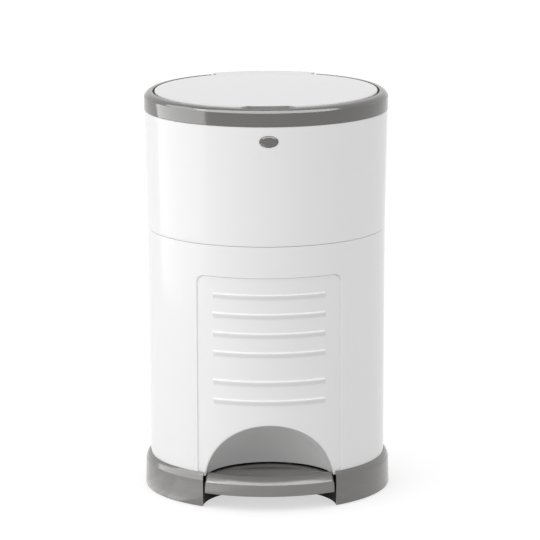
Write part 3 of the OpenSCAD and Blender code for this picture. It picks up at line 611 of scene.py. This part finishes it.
def brushed_group():
    """Drawn steel: fine lines along X and a faint tarnish."""
    group, given, out = new_group("drawn_metal", ("Colour", "Line scale", "Gloss"),
                                  ("Colour", "Roughness", "Height"))
    coords = own_coords(group)
    lines = noise(group, stretched(group, coords, (0.06, 1, 1)), given["Line scale"], 3.0)
    tarnish = maths(group, "MULTIPLY", noise(group, coords, 70.0, 4.0), -0.25)
    shade = maths(group, "ADD", tarnish, 1.1)
    group.links.new(shaded(group, given["Colour"], shade), out["Colour"])
    rough = maths(group, "ADD", maths(group, "MULTIPLY", lines, 0.18), given["Gloss"])
    group.links.new(rough, out["Roughness"])
    group.links.new(lines, out["Height"])
    return group


def painted_ledge_light_group():
    """Painted light on moulded plastic: a painted highlight where the surface faces up and, above a height,
    painted shade where it faces down.
    """
    # Light sets the painted highlight, Deep the painted shade, and Lowest the height below which there is no
    # painted shade.
    group, given, out = new_group("painted_ledge_light_and_shade", ("Colour", "Light", "Deep", "Lowest"), ("Colour",))
    facing = upward(group, own_coords(group, "Normal"))
    up = maths(group, "MAXIMUM", maths(group, "SUBTRACT", facing, 0.15), 0.0)
    down = maths(group, "MINIMUM", maths(group, "ADD", facing, 0.05), 0.0)
    painted_highlight = maths(group, "MULTIPLY", up, given["Light"])
    high = maths(group, "GREATER_THAN", upward(group, own_coords(group)), given["Lowest"])
    painted_shade = maths(group, "MULTIPLY", maths(group, "MULTIPLY", down, given["Deep"]), high)
    tone = maths(group, "ADD", maths(group, "ADD", painted_highlight, painted_shade), 1.0)
    group.links.new(shaded(group, given["Colour"], tone), out["Colour"])
    return group


PAINTED_LEDGE_LIGHT = painted_ledge_light_group()
MOULDED = moulded_group()
SCUFFS = scuff_group()
DRAWN = brushed_group()

dust_colour, dust_reach = (0.55, 0.53, 0.5, 1), 50 * mm


def start_material(name):
    """New material, with its node tree and its Principled shader."""
    mat = bpy.data.materials.new(name)
    mat.use_nodes = True
    return mat, mat.node_tree, mat.node_tree.nodes["Principled BSDF"]


def use_group(tree, group, **values):
    """Places a shader group with its own values and returns its outputs."""
    node = new_node(tree, "Group")
    node.node_tree = group
    fill(tree, node, **values)
    return node.outputs


def surfaced(name, group, **values):
    """New material that takes its colour and roughness from a group."""
    mat, tree, shader = start_material(name)
    surface = use_group(tree, group, **values)
    fill(tree, shader, Base_Color=surface["Colour"], Roughness=surface["Roughness"])
    return mat, tree, shader, surface


def bump(tree, shader, height, strength, distance):
    """Lets a height stir the shader's normal."""
    node = new_node(tree, "Bump", Strength=strength, Distance=distance, Height=height)
    fill(tree, shader, Normal=node.outputs[0])


def plastic(name, colour, gloss, specular, drift=0.03, gloss_drift=0.04, ripple=30.0, grain=1500.0,
            grain_share=0.1, depth=0.02 * mm, dust=0.0, painted_light_values=None):
    """Moulded plastic; dust is the amount of it; the last argument gives the values of a painted highlight
    and painted shade by which way the surface faces.
    """
    mat, tree, shader = start_material(name)
    surface = use_group(tree, MOULDED, Colour=(*colour, 1), Shade_drift=drift, Gloss=gloss,
                        Gloss_drift=gloss_drift, Ripple_scale=ripple, Grain_scale=grain,
                        Grain_share=grain_share)
    scuffs = use_group(tree, SCUFFS, Colour=surface["Colour"], Dust_colour=dust_colour, Reach=dust_reach,
                       Amount=dust)
    # On the ribbed white, colour with a painted highlight on up-facing surfaces and painted shade on
    # down-facing ones.
    tone = use_group(tree, PAINTED_LEDGE_LIGHT, Colour=scuffs["Colour"], **painted_light_values) if painted_light_values else scuffs
    fill(tree, shader, Base_Color=tone["Colour"], Specular_IOR_Level=specular,
         Roughness=maths(tree, "ADD", surface["Roughness"], scuffs["Mask"]))
    bump(tree, shader, surface["Height"], 0.5, depth)
    return mat


def steel():
    """Drawn steel wire and pins."""
    mat, tree, shader, surface = surfaced("drawn_steel", DRAWN, Colour=(0.62, 0.62, 0.63, 1),
                                          Line_scale=500.0, Gloss=0.22)
    fill(tree, shader, Metallic=1)
    bump(tree, shader, surface["Height"], 0.3, 0.02 * mm)
    return mat


def clear_plastic():
    """Clear styrene of the cassette."""
    mat, tree, shader, surface = surfaced(
        "clear_styrene", MOULDED, Colour=(0.9, 0.94, 0.95, 1), Shade_drift=0.02, Gloss=0.12,
        Gloss_drift=0.05, Ripple_scale=25.0, Grain_scale=900.0, Grain_share=0.05)
    fill(tree, shader, Transmission_Weight=0.75, IOR=1.5)
    bump(tree, shader, surface["Height"], 0.4, 0.02 * mm)
    return mat


def folded_film():
    """Thin film pushed together in the cassette: fine level pleats."""
    mat, tree, shader, _ = surfaced(
        "folded_film", MOULDED, Colour=(0.78, 0.83, 0.88, 1), Shade_drift=0.12, Gloss=0.35,
        Gloss_drift=0.2, Ripple_scale=80.0, Grain_scale=900.0, Grain_share=0.2)
    fill(tree, shader, Sheen_Weight=0.2)
    pleats = noise(tree, stretched(tree, own_coords(tree), (1, 1, 9)), 60.0, 4.0, 0.6)
    bump(tree, shader, pleats, 0.8, 0.8 * mm)
    return mat


white = dict(colour=(0.80, 0.80, 0.80), gloss=0.14, specular=0.10, drift=0.015, ripple=22.0, depth=0.03 * mm)
WHITE = plastic("white_gloss", **white)
# The lower shell's white: painted highlight where it faces up, and painted shade where it faces down above
# 115 mm.
RIBBED_WHITE_PAINTED_LEDGES = plastic("ribbed_white_gloss", **white, painted_light_values=dict(Light=0.36, Deep=0.42, Lowest=115 * mm))
GREY = plastic("grey_gloss", (0.120, 0.117, 0.110), 0.11, 0.72, drift=0.05, ripple=26.0, depth=0.03 * mm,
               dust=0.12)
FOOT_GREY = plastic("foot_grey_gloss", (0.152, 0.149, 0.142), 0.13, 0.6, drift=0.05, ripple=26.0,
                    depth=0.02 * mm, dust=0.15)
TREAD_GREY = plastic("tread_grey_gloss", (0.19, 0.186, 0.177), 0.15, 0.7, drift=0.04, ripple=14.0,
                     depth=0.004 * mm, dust=0.12)
INNER_GREY = plastic("inner_satin_grey", (0.24, 0.24, 0.235), 0.42, 0.4, drift=0.06, grain=700.0,
                     grain_share=0.5, depth=0.05 * mm)
DARK = plastic("dark_satin", (0.035, 0.035, 0.036), 0.45, 0.3, drift=0.1, grain=600.0, grain_share=0.7,
               depth=0.06 * mm, dust=0.1)
# Near-black: painted shade of the enclosed well behind the pedal.
WELL_PAINTED_SHADE = plastic("well_painted_shade_black", (0.012, 0.012, 0.012), 0.6, 0.1, drift=0.1, grain=600.0, grain_share=0.6,
                     depth=0.05 * mm)
RUBBER = plastic("black_rubber", (0.02, 0.02, 0.02), 0.75, 0.2, drift=0.1, gloss_drift=0.1, grain=500.0,
                 grain_share=1.0, depth=0.1 * mm, dust=0.15)
STEEL = steel()
CLEAR = clear_plastic()
FILM = folded_film()

SLOT_MATERIALS = {
    "white_shell": WHITE, "grey_trim": GREY, "inner_grey": INNER_GREY, "dark_plastic": DARK,
    "black_rubber": RUBBER, "steel_parts": STEEL, "clear_cassette": CLEAR, "liner_film": FILM,
}


def dress_nodes():
    """Each CAD node gets its slot's own material."""
    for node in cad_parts.values():
        slot = node.data.materials[0].name.split(".")[0]
        node.data.materials[0] = SLOT_MATERIALS[slot]


# ---- Lower body ----

panel_angle = math.asin(panel_half / lower_radius(panel_gauge_z))
patch_angle = panel_angle - panel_margin / bottom_r
corner_angle = panel_angle - (panel_corner + 1 * mm) / bottom_r


def panel_offset(angle, z):
    """How far the front stands out of, or into, the plain cone."""
    if abs(angle) > panel_angle + panel_margin / bottom_r:
        return 0
    across = abs(math.sin(angle)) * lower_radius(z)
    dx = across - (panel_half - panel_corner)
    dz = z - (panel_top - panel_corner)
    outside = math.hypot(max(dx, 0), max(dz, 0)) + min(max(dx, dz), 0) - panel_corner
    offset = -panel_depth * smooth(0.5 - outside / panel_step)
    end = smooth((rib_half_angle - abs(angle)) * bottom_r / rib_end + 0.5)
    for height in rib_heights:
        above = height + rib_half_h - z
        if 0 < above < rib_ledge + rib_fall:
            fall = smooth(1 - (above - rib_ledge) / rib_fall)
            offset += rib_proud * min(smooth(above / rib_ledge), fall) * end
    return offset


def front_columns():
    """Angles of the upright grid lines, close together at the panel's edge and the ribs' ends."""
    edge = 1 / bottom_r
    half = span(0, rib_half_angle - 3 * mm * edge, 11)
    half += [rib_half_angle + k * 0.35 * mm * edge for k in range(-4, 4)]
    half += span(corner_angle, patch_angle, 6)
    half += [panel_angle + k * 0.2 * mm * edge for k in range(-5, 6)]
    return [-a for a in half] + half


def wall_rows(low, high, extra):
    """Heights of the level grid lines: even steps, and the extra ones among them."""
    return merged(span(low, high, round((high - low) / (8 * mm))) + extra, 0.25 * mm)


def lower_rows():
    """Heights of the lower body's level grid lines, close together at the ribs and the panel's top edge."""
    falls = span(0, rib_ledge, 6)
    falls += [rib_ledge + rib_fall * share for share in (0.06, 0.14, 0.25, 0.4, 0.55, 0.7, 0.85, 1)]
    edges = [z + rib_half_h - fall for z in rib_heights for fall in falls]
    corner = span(panel_top - panel_corner - 1 * mm, panel_top - 1.2 * mm, 7)
    step = [panel_top + k * 0.22 * mm for k in range(-3, 4)]
    low = [shell_low, 20 * mm, 30 * mm] + span(patch_low, patch_top, 14)
    return merged(low + wall_rows(patch_top, lower_level_top, edges + corner + step), 0.2 * mm)


def toe_point(ray, row):
    """Place on the toe recess's patch: panel skin, then the edge's fillet, then the dome."""
    angle, z = ray
    kind, share = row
    reach = Vector((angle * bottom_r, z - toe_z))
    toward = reach.normalized()
    centre = Vector((0, -toe_y, toe_z))

    def skin(distance):
        height = toe_z + toward.y * distance
        turn = toward.x * distance / bottom_r
        return around(lower_radius(height) + panel_offset(turn, height), turn, height)

    edge_at = bisected(0.6 * toe_r, 1.15 * toe_r, lambda at: (skin(at) - centre).length < toe_r)
    if kind == "skin":
        return skin(reach.length + (edge_at + toe_fillet - reach.length) * share)
    edge = skin(edge_at)
    spoke = (edge - centre).normalized()
    pole = Vector((0, 1, 0))
    whole = spoke.angle(pole)
    turn_axis = spoke.cross(pole).normalized()
    first = toe_fillet / (toe_r * whole)

    def dome(along):
        return centre + toe_r * (Matrix.Rotation(whole * along, 3, turn_axis) @ spoke)

    if kind == "dome":
        return dome(first + (1 - first) * share)
    outer = skin(edge_at + toe_fillet)
    return outer * (1 - share) ** 2 + edge * 2 * share * (1 - share) + dome(first) * share ** 2


def knuckle_web(x0, x1, z0, z1):
    """Block that ties a seam knuckle to its wall."""
    return block((x0, hinge.y - knuckle_in, z0), (x1, hinge.y + knuckle_out, z1))


def ring_columns(angles, hinge_widths):
    """Angles of a wall's upright grid lines, all round, with lines where the hinge's cuts end."""
    cuts = [math.pi + side * math.asin(x / seam_r) for side in (-1, 1) for x in hinge_widths]
    columns = merged(angles + cuts, least_turn)
    return columns + [columns[0] + math.tau]


def walled(name, *sheets):
    """One wall, thickened inwards, from open sheets that meet."""
    sheet = close_up(joined(*sheets))
    face_outwards(sheet)
    obj = as_object(sheet, name)
    solid = obj.modifiers.new("wall", "SOLIDIFY")
    solid.thickness = wall
    solid.offset = -1
    solid.use_even_offset = True
    settle(obj)
    return taken_back(obj)


def make_lower_shell():
    """Lower body: front panel with ribs and toe recess, lip into the top section, hinge knuckles."""
    side = panel_angle + 4 * mm / bottom_r
    columns = ring_columns(front_columns() + span(side, math.tau - side, 96), (lower_relief, lip_gap))
    top = seam_z - seam_half_gap
    turned = rounded([(lower_radius(top), lower_turn_z, 0), (lower_radius(top), top, soft_edge),
                      (lip_r, top, 0.4 * mm), (lip_r, lip_top, 0)], 3)
    rows = [(z, None) for z in lower_rows() + [relief_low, lower_turn_z]] + [(p.y, p.x) for p in turned[1:]]

    def place(angle, row):
        z, r = row
        if r is None:
            r = lower_radius(z) + panel_offset((angle + math.pi) % math.tau - math.pi, z)
        return around(r, angle, z)

    def unwanted(angle, middle):
        front = abs(angle) < patch_angle and middle.z < patch_top
        behind = middle.y > 0 and abs(middle.x) < lip_gap and middle.z > top - 0.05 * mm
        relief = middle.y > 0 and abs(middle.x) < lower_relief and middle.z > relief_low
        return front or behind or relief

    wall_bm = mapped_grid(columns, rows, place)
    drop_faces(wall_bm, unwanted)
    levels = [z for z in lower_rows() if patch_low - 0.1 * mm < z < patch_top + 0.1 * mm]
    angles = [a for a in columns if abs(a) < patch_angle + 1e-6]
    rays = [(angles[0], z) for z in levels[:-1]] + [(a, levels[-1]) for a in angles]
    rays += [(angles[-1], z) for z in reversed(levels[:-1])]
    stages = [("skin", s) for s in span(0, 1, 9)] + [("fillet", s) for s in span(0.14, 1, 6)]
    stages += [("dome", s) for s in
               (0.02, 0.05, 0.1, 0.17, 0.25, 0.34, 0.43, 0.52, 0.61, 0.7, 0.8, 0.88, 0.94)]
    toe = mapped_grid(rays, stages, toe_point)
    bmesh.ops.bisect_plane(toe, geom=toe.verts[:] + toe.edges[:] + toe.faces[:],
                           plane_co=(0, 0, toe_bottom), plane_no=(0, 0, -1), clear_outer=True)
    shell = walled("lower_wall", wall_bm, toe)
    knuckles = mirrored(joined(barrel(*outer_knuckle, hinge),
                               knuckle_web(*outer_knuckle, seam_z - knuckle_reach, seam_z - soft_edge)))
    put_piece(joined(shell, knuckles), "lower_shell_skin", "lower_bin", RIBBED_WHITE_PAINTED_LEDGES,
              ["lower_shell"])


# ---- Top section ----

def button_point(ray, row):
    """Place on the patch round the button's hole: the wall's skin, then the hole's rolled edge."""
    angle, z = ray
    kind, share = row
    r0 = upper_radius(button_z)
    reach = Vector((angle * r0, z - button_z))
    toward = reach.normalized()
    half_w, half_h = button_w / 2 + button_gap, button_h / 2 + button_gap
    edge_at = 1 / math.hypot(toward.x / half_w, toward.y / half_h)
    if kind == "skin":
        at, sunk = reach.length + (edge_at + button_roll - reach.length) * share, 0
    else:
        at = edge_at + button_roll * (1 - math.sin(share * math.pi / 2))
        sunk = button_roll * (1 - math.cos(share * math.pi / 2))
    height = button_z + toward.y * at
    return around(upper_radius(height) - sunk, toward.x * at / r0, height)


def make_upper_shell():
    """Top section's wall: hole for the button, spigot under the rim, hinge knuckle."""
    hole_angle = hole_half_w / upper_radius(button_z)
    hole_low, hole_high = button_z - hole_half_h, button_z + hole_half_h
    columns = ring_columns(span(-hole_angle, hole_angle, 18) + span(hole_angle, math.tau - hole_angle, 132),
                           upper_relief)
    low = seam_z + seam_half_gap
    levels = merged(wall_rows(upper_level_low, hole_low, []) + span(hole_low, hole_high, 12)
                    + [upper_level_top], 0.2 * mm)
    start = rounded([(upper_radius(low) - 1.5 * mm, low, 0), (upper_radius(low), low, soft_edge),
                     (upper_radius(upper_turn_z), upper_turn_z, 0)], 3)
    end = rounded([(upper_radius(upper_level_top), upper_level_top, 0), (top_r, rim_z, soft_edge),
                   (spigot_r, rim_z, 0), (spigot_r, spigot_top, 0)], 3)
    rows = start + [Vector((upper_radius(z), z)) for z in levels] + end[1:]

    def unwanted(angle, middle):
        hole = abs(angle) < hole_angle and hole_low < middle.z < hole_high
        beside = upper_relief[0] < abs(middle.x) < upper_relief[1]
        relief = middle.y > 0 and beside and middle.z < upper_turn_z
        tab_room = middle.y > notch_y and abs(middle.x) < notch_half and middle.z > notch_z
        return hole or relief or tab_room

    wall_bm = mapped_grid(columns, rows, lambda angle, row: around(row.x, angle, row.y))
    drop_faces(wall_bm, unwanted)
    edge_levels = [z for z in levels if hole_low - 0.1 * mm < z < hole_high + 0.1 * mm]
    angles = [a for a in columns if abs(a) < hole_angle + 1e-6]
    loop = [(angles[0], z) for z in edge_levels] + [(a, edge_levels[-1]) for a in angles[1:]]
    loop += [(angles[-1], z) for z in reversed(edge_levels[:-1])]
    loop += [(a, edge_levels[0]) for a in reversed(angles[:-1])]
    stages = [("skin", s) for s in span(0, 1, 4)] + [("roll", s) for s in span(0.34, 1, 2)]
    shell = walled("upper_wall", wall_bm, mapped_grid(loop, stages, button_point))
    knuckle = joined(barrel(-middle_knuckle, middle_knuckle, hinge),
                     knuckle_web(-middle_knuckle, middle_knuckle, seam_z + soft_edge, seam_z + knuckle_reach))
    put_piece(joined(shell, knuckle), "upper_shell_skin", "top_section", WHITE,
              ["upper_shell"])


def rim_drop(y, z):
    """The rim's crown is lower at the front than at the hinge."""
    return rim_tilt * smooth((z - rim_face_top) / (4 * mm)) * smooth(0.5 - y / (2 * rim_r))


def make_rim():
    """Grey ring: plain face, rounded crown, ledge for the lid, and a skirt over the top section."""
    crown_h = rim_high - rim_face_top
    crown = [Vector((rim_r - rim_crown_w * (1 - math.cos(a)), rim_face_top + crown_h * math.sin(a)))
             for a in span(0, math.pi / 2, 9)]
    start = rounded([(spigot_r + rim_slack, rim_low, 0), (rim_r, rim_low, soft_edge),
                     (rim_r, rim_face_top, 0)])
    under = ledge_z - ledge_wall
    rest = rounded([(rim_r - rim_crown_w, rim_high, 0), (rim_inner_r, rim_high, 0.7 * mm),
                    (rim_inner_r, ledge_z, 0), (ledge_r, ledge_z, soft_edge), (ledge_r, under, soft_edge),
                    (rim_inner_r + ledge_wall, under, 0), (spigot_r + rim_slack, rim_high - 10.5 * mm, 0)])
    ring = close_up(lathe(start[:-1] + crown + rest[1:], 192, closed=True))
    room = slot_half + 1 * mm
    for v in ring.verts:
        inner_wall = v.co.xy.length < rim_inner_r + 0.9 * mm and v.co.z > ledge_z + 0.5 * mm
        if inner_wall and v.co.y < 0 and abs(v.co.x) < room:
            push = slot_push * smooth((room - abs(v.co.x)) / (3 * mm))
            v.co.xy = v.co.xy.normalized() * (v.co.xy.length + push)
        v.co.z -= rim_drop(v.co.y, v.co.z)
    notch = block((-notch_half, notch_y, notch_z), (notch_half, 2 * rim_r, 2 * rim_high), 0)
    put_piece(close_up(carved(ring, notch)), "rim_ring_skin", "top_section", GREY, ["rim_ring"])


def make_button():
    """Oval push button with a soft edge and a lightly domed face, on a flange behind the wall."""
    face = upper_radius(button_z) + button_proud
    outline = rounded([(0, 0, 0), (0.5, -0.06, 1), (0.78, -0.22, 0.3), (1.0, -1.0, 0.2), (1.0, -2.4, 0)], 5)
    bm = lathe([(p.x, p.y * button_proud) for p in outline], 64)
    bmesh.ops.scale(bm, verts=bm.verts, vec=(button_w / 2, button_h / 2, 1))
    rim = [e for e in bm.edges if len(e.link_faces) == 1]
    bmesh.ops.holes_fill(bm, edges=rim, sides=0)
    laid(bm, "X", (0, -face, button_z))
    back = drum(1, flange, 64)
    bmesh.ops.scale(back, verts=back.verts, vec=(button_w / 2 + flange, button_h / 2 + flange, 1))
    laid(back, "X", (0, -face + button_proud + flange_sink, button_z))
    put_piece(joined(close_up(bm), back), "button_skin", "button", GREY, ["release_button"])


# ---- Lid ----

def lid_crown_z(r):
    """Height of the lid's crowned face at a radius, before its rise to the hinge."""
    return lid_edge_z + lid_crown * (1 - (r / (lid_r - 6 * mm)) ** 2)


def make_lid():
    """Crowned disc with the finger slot in its front edge, the hinge tab behind and posts under it."""
    band_r, shoulder_r = ledge_r, lid_r - 5.5 * mm
    face = [(r * mm, lid_crown_z(r * mm)) for r in (0, 15, 30, 45, 60, 75, 88, 98, 106, 113, 119, 125)]
    plain = rounded([(band_r, lid_crown_z(band_r), 0), (shoulder_r, lid_edge_z + 0.1 * mm, 0),
                     (lid_r, lid_edge_z - 0.2 * mm, 1.1 * mm), (lid_r, lid_low, 0.8 * mm),
                     (band_r, lid_low, 0)])[1:]
    under = [(band_r - 2 * mm, lid_edge_z - wall), (60 * mm, lid_crown_z(60 * mm) - wall),
             (0, lid_edge_z + lid_crown - wall)]
    tab = rounded([(band_r, tab_top - 0.5 * mm, 0), (shoulder_r, tab_top - 0.2 * mm, 0),
                   (tab_r, tab_top, 1.6 * mm), (tab_r, tab_top - 5 * mm, 0.8 * mm),
                   (tab_r - wall, tab_top - 5 * mm, 0)])[1:]
    rows = [("face", p, p) for p in face]
    rows += [("edge", a, b) for a, b in zip(plain, tab)]
    rows += [("under", p, p) for p in under]

    slant = slot_half - slot_depth
    front = [math.asin(x / lid_r) for x in
             (0, 6 * mm, 12 * mm, 18 * mm, slant - 1.5 * mm, slant - 0.5 * mm, slant + 0.5 * mm,
              slot_half - 0.7 * mm, slot_half - 0.2 * mm, slot_half + 0.3 * mm, slot_half + 1.3 * mm)]
    rear = [math.pi - math.asin(x / tab_r) for x in
            (0, 12 * mm, 24 * mm, 36 * mm, 48 * mm, 58 * mm, tab_half - 2.4 * mm, tab_half - 1.2 * mm,
             tab_half - 0.6 * mm, tab_half, tab_half + 0.02 * mm, tab_half + 2 * mm)]
    half = merged(front + span(front[-1], rear[-1], 52) + rear, 1e-5)
    columns = [-a for a in reversed(half[1:])] + half

    def place(angle, row):
        kind, (r, z), tab_at = row
        behind = math.cos(angle) < 0
        x_tab = abs(math.sin(angle)) * tab_r
        if kind == "edge" and behind and x_tab <= tab_half + 0.005 * mm:
            r, z = tab_at
            z -= 0.5 * mm * (1 - smooth((tab_half - x_tab) / (2.4 * mm)))
        else:
            z += lid_rise * (0.5 - r * math.cos(angle) / (2 * lid_r))
        from_end = slot_half - abs(math.sin(angle)) * lid_r
        if kind == "edge" and not behind and from_end > 0:
            inward = slot_depth * smooth(from_end / slot_depth)
            full = lid_r - band_r
            undercut = smooth((lid_edge_z - 0.7 * mm - z) / (1.2 * mm)) * smooth(from_end / (2 * mm))
            r = band_r + (r - band_r) * (full - inward) / full * (1 - 0.8 * undercut)
        return around(r, angle, z)

    disc = close_up(mapped_grid(columns, rows, place))
    knuckles = [joined(barrel(x0, x1, lid_hinge),
                       block((x0, lid_hinge.y - knuckle_r, lid_hinge.z),
                             (x1, lid_hinge.y + knuckle_r, tab_top - 2 * mm), 0.3 * mm))
                for x0, x1 in lid_knuckles]
    posts = [drum(post_r, post_h, 32, Matrix.Rotation(turn, 3, "Z") @ post_at) for turn in post_angles]
    put_piece(joined(disc, mirrored(joined(*knuckles)), *posts), "lid_skin", "lid", WHITE,
              ["lid_top"])


# ---- Skirt, well and pedal ----

def make_skirt():
    """Grey foot ring, rounded at its top and cut out for the pedal."""
    crest_r = lower_radius(skirt_top) + 0.3 * mm
    inner = skirt_r - skirt_wall
    corners = [
        (skirt_r, skirt_low, soft_edge), (skirt_r - 0.5 * mm, skirt_top - 8.5 * mm, 3 * mm),
        (skirt_r - 2.6 * mm, skirt_top - 2.6 * mm, 3 * mm), (crest_r + 0.6 * mm, skirt_top, 0.6 * mm),
        (crest_r, skirt_top, 0.2 * mm), (crest_r, skirt_top - 3 * mm, 0), (inner, skirt_top - 12 * mm, 0),
        (inner, skirt_low, 0.4 * mm)]
    ring = close_up(lathe(rounded(corners, closed=True), 216, closed=True))
    pedal_room = drum(well_r, 0.2, 256, (0, -toe_y, 0.05))
    put_piece(close_up(carved(ring, pedal_room)), "skirt_skin", "lower_bin", FOOT_GREY,
              ["base_skirt"])


def make_well():
    """Curved wall behind the pedal, slotted for the lever's arms; near-black, as painted shade of the
    enclosed well.
    """
    corners = [(well_r, skirt_low), (well_r + well_wall, skirt_low), (well_r + well_wall, well_top),
               (well_r, well_top)]
    wall_bm = close_up(lathe(corners, 96, closed=True, centre=(0, -toe_y, 0), start=well_end,
                             sweep=math.pi - 2 * well_end))
    (y0, y1), (z0, z1) = arm_slot_y, arm_slot_z
    slots = [block((x - arm_room, y0, z0), (x + arm_room, y1, z1), 0) for x in (-arm_x, arm_x)]
    put_piece(close_up(carved(wall_bm, *slots)), "pedal_well", "lower_bin", WELL_PAINTED_SHADE)


def tread_height(spot):
    """Height of the tread's upper face at a place in plan."""
    r = spot.length
    share = min(1, max(0, (r - tread_crest_r) / (tread_front_r - tread_crest_r)))
    front = tread_fall * (tread_fall_start * share + (1 - tread_fall_start) * share ** 2)
    roll = min(1, max(0, 1 + (r - tread_front_r) / tread_edge))
    front += tread_edge * (1 - math.sqrt(1 - roll ** 2))
    from_end = pedal_r - (spot + Vector((0, toe_y))).length
    lip = tread_crest * smooth((r - tread_lip_r) / (tread_crest_r - tread_lip_r))
    lip *= smooth(from_end / (1.8 * mm))
    shelf = tread_ridge_h * (1 - smooth(1 - abs(r - dish_rim_r - 1 * mm) / shelf_half))
    dish = dish_depth * smooth((dish_rim_r - r) / dish_run) * smooth(from_end / dish_end)
    return tread_top + lip - front - shelf - dish


def make_tread():
    """Pedal tread: a hollow lens between the well's circle and the skirt's, dished towards the back."""
    corner_y = (tread_front_r ** 2 - pedal_r ** 2 + toe_y ** 2) / (2 * toe_y)
    corner_x = math.sqrt(tread_front_r ** 2 - corner_y ** 2)
    front_half = math.atan2(corner_x, corner_y)
    rear_half = math.atan2(corner_x, toe_y - corner_y)
    columns = [math.sin(s * math.pi / 2) for s in span(-1, 1, 72)]
    foot, roof = tread_low + tread_foot, tread_top - tread_roof
    fall = tread_front_r - tread_crest_r
    levels = [tread_front_r - fall * (1 - math.cos(a)) for a in span(0, math.pi / 2, 12)]
    levels += [r * mm for r in (137, 134, 131, 128, 125, 122)]
    levels += [dish_rim_r + step * mm for step in (4, 3.3, 2.6, 1.9, 1.2, 0.4, -0.4, -1.2, -2, -5)]
    rows = [("front", z) for z in (foot, tread_low + 4 * mm, tread_top - tread_fall + 1 * mm)]
    rows += [("level", r) for r in levels] + [("share", s) for s in span(0.06, 0.98, 18)]
    rows += [("rear", s) for s in (0.25, 0.6, 1)] + [("back", foot), ("back", tread_low)]
    rows += [("inner back", tread_low), ("inner back", roof), ("inner front", roof)]
    rows += [("inner front", tread_low), ("foot", tread_low), rows[0]]

    def place(column, row):
        kind, value = row
        front = Vector((math.sin(column * front_half), -math.cos(column * front_half))) * tread_front_r
        rear = Vector((math.sin(column * rear_half), math.cos(column * rear_half))) * pedal_r
        rear.y -= toe_y
        line = rear - front
        width = max(line.length, 0.01 * mm)
        full, inset = 1 - rear_edge / width, min(tread_wall / width, 0.35)

        def crossing(r):
            return bisected(0, 1, lambda at: (front + line * at).length > r)

        z = None
        if kind == "level":
            at = crossing(max(value, rear.length))
        elif kind == "share":
            start = crossing(dish_inner_r) if rear.length < dish_inner_r else full
            at = start + (full - start) * value
        elif kind == "rear":
            turn = value * math.pi / 2
            at = 1 - rear_edge / width * (1 - math.sin(turn))
            z = tread_height(front + line * at) - rear_edge * (1 - math.cos(turn))
        else:
            at = {"front": 0, "foot": min(tread_foot, 0.1 * width) / width, "back": 1,
                  "inner back": 1 - inset, "inner front": inset}[kind]
            z = value
        spot = front + line * min(1, max(0, at))
        return Vector((*spot, tread_height(spot) if z is None else z))

    put_piece(close_up(mapped_grid(columns, rows, place)), "tread_skin", "pedal", TREAD_GREY,
              ["pedal_tread"], 40)


# ---- Making ----

surround, floor_lift = 0.85, 0.6
LAMPS = [    # name, whether for reflections, width and height, place, target, strength
    ("left_softbox_gloss", True, (1.5, 3.2), (-1.2, -0.03, 0.4), (0, -0.03, 0.3), 3.0),
    ("left_softbox", False, (1.6, 2.2), (-1.15, -0.45, 0.45), (0, 0, 0.2), 0.5),
    ("front_left_fill", False, (1.2, 1.2), (-1.4, -2.0, 0.7), (0, 0, 0.2), 0.1),
    ("low_left_fill", False, (0.6, 0.2), (-0.9, -0.6, 0.105), (0, -0.1, 0.05), 2.5),
    ("front_top_softbox_gloss", True, (4.4, 1.5), (0, -0.5, 2.3), (0, 0, 0.4), 5.0),
]
FLOOR_CARDS = [(-0.085, 0.9), (-0.065, 0.45), (-0.04, 0.35), (-0.01, 0.3)]     # far edge and strength
card_near, card_x, card_w, card_z = -0.92, -0.36, 0.5, 0.002

add_camera()
add_world(surround)
add_floor(floor_lift)
light_scene()
dress_nodes()
make_lower_shell()
make_upper_shell()
make_rim()
make_button()
make_lid()
make_skirt()
make_well()
make_tread()

bpy.context.scene.view_settings.view_transform = "Standard"
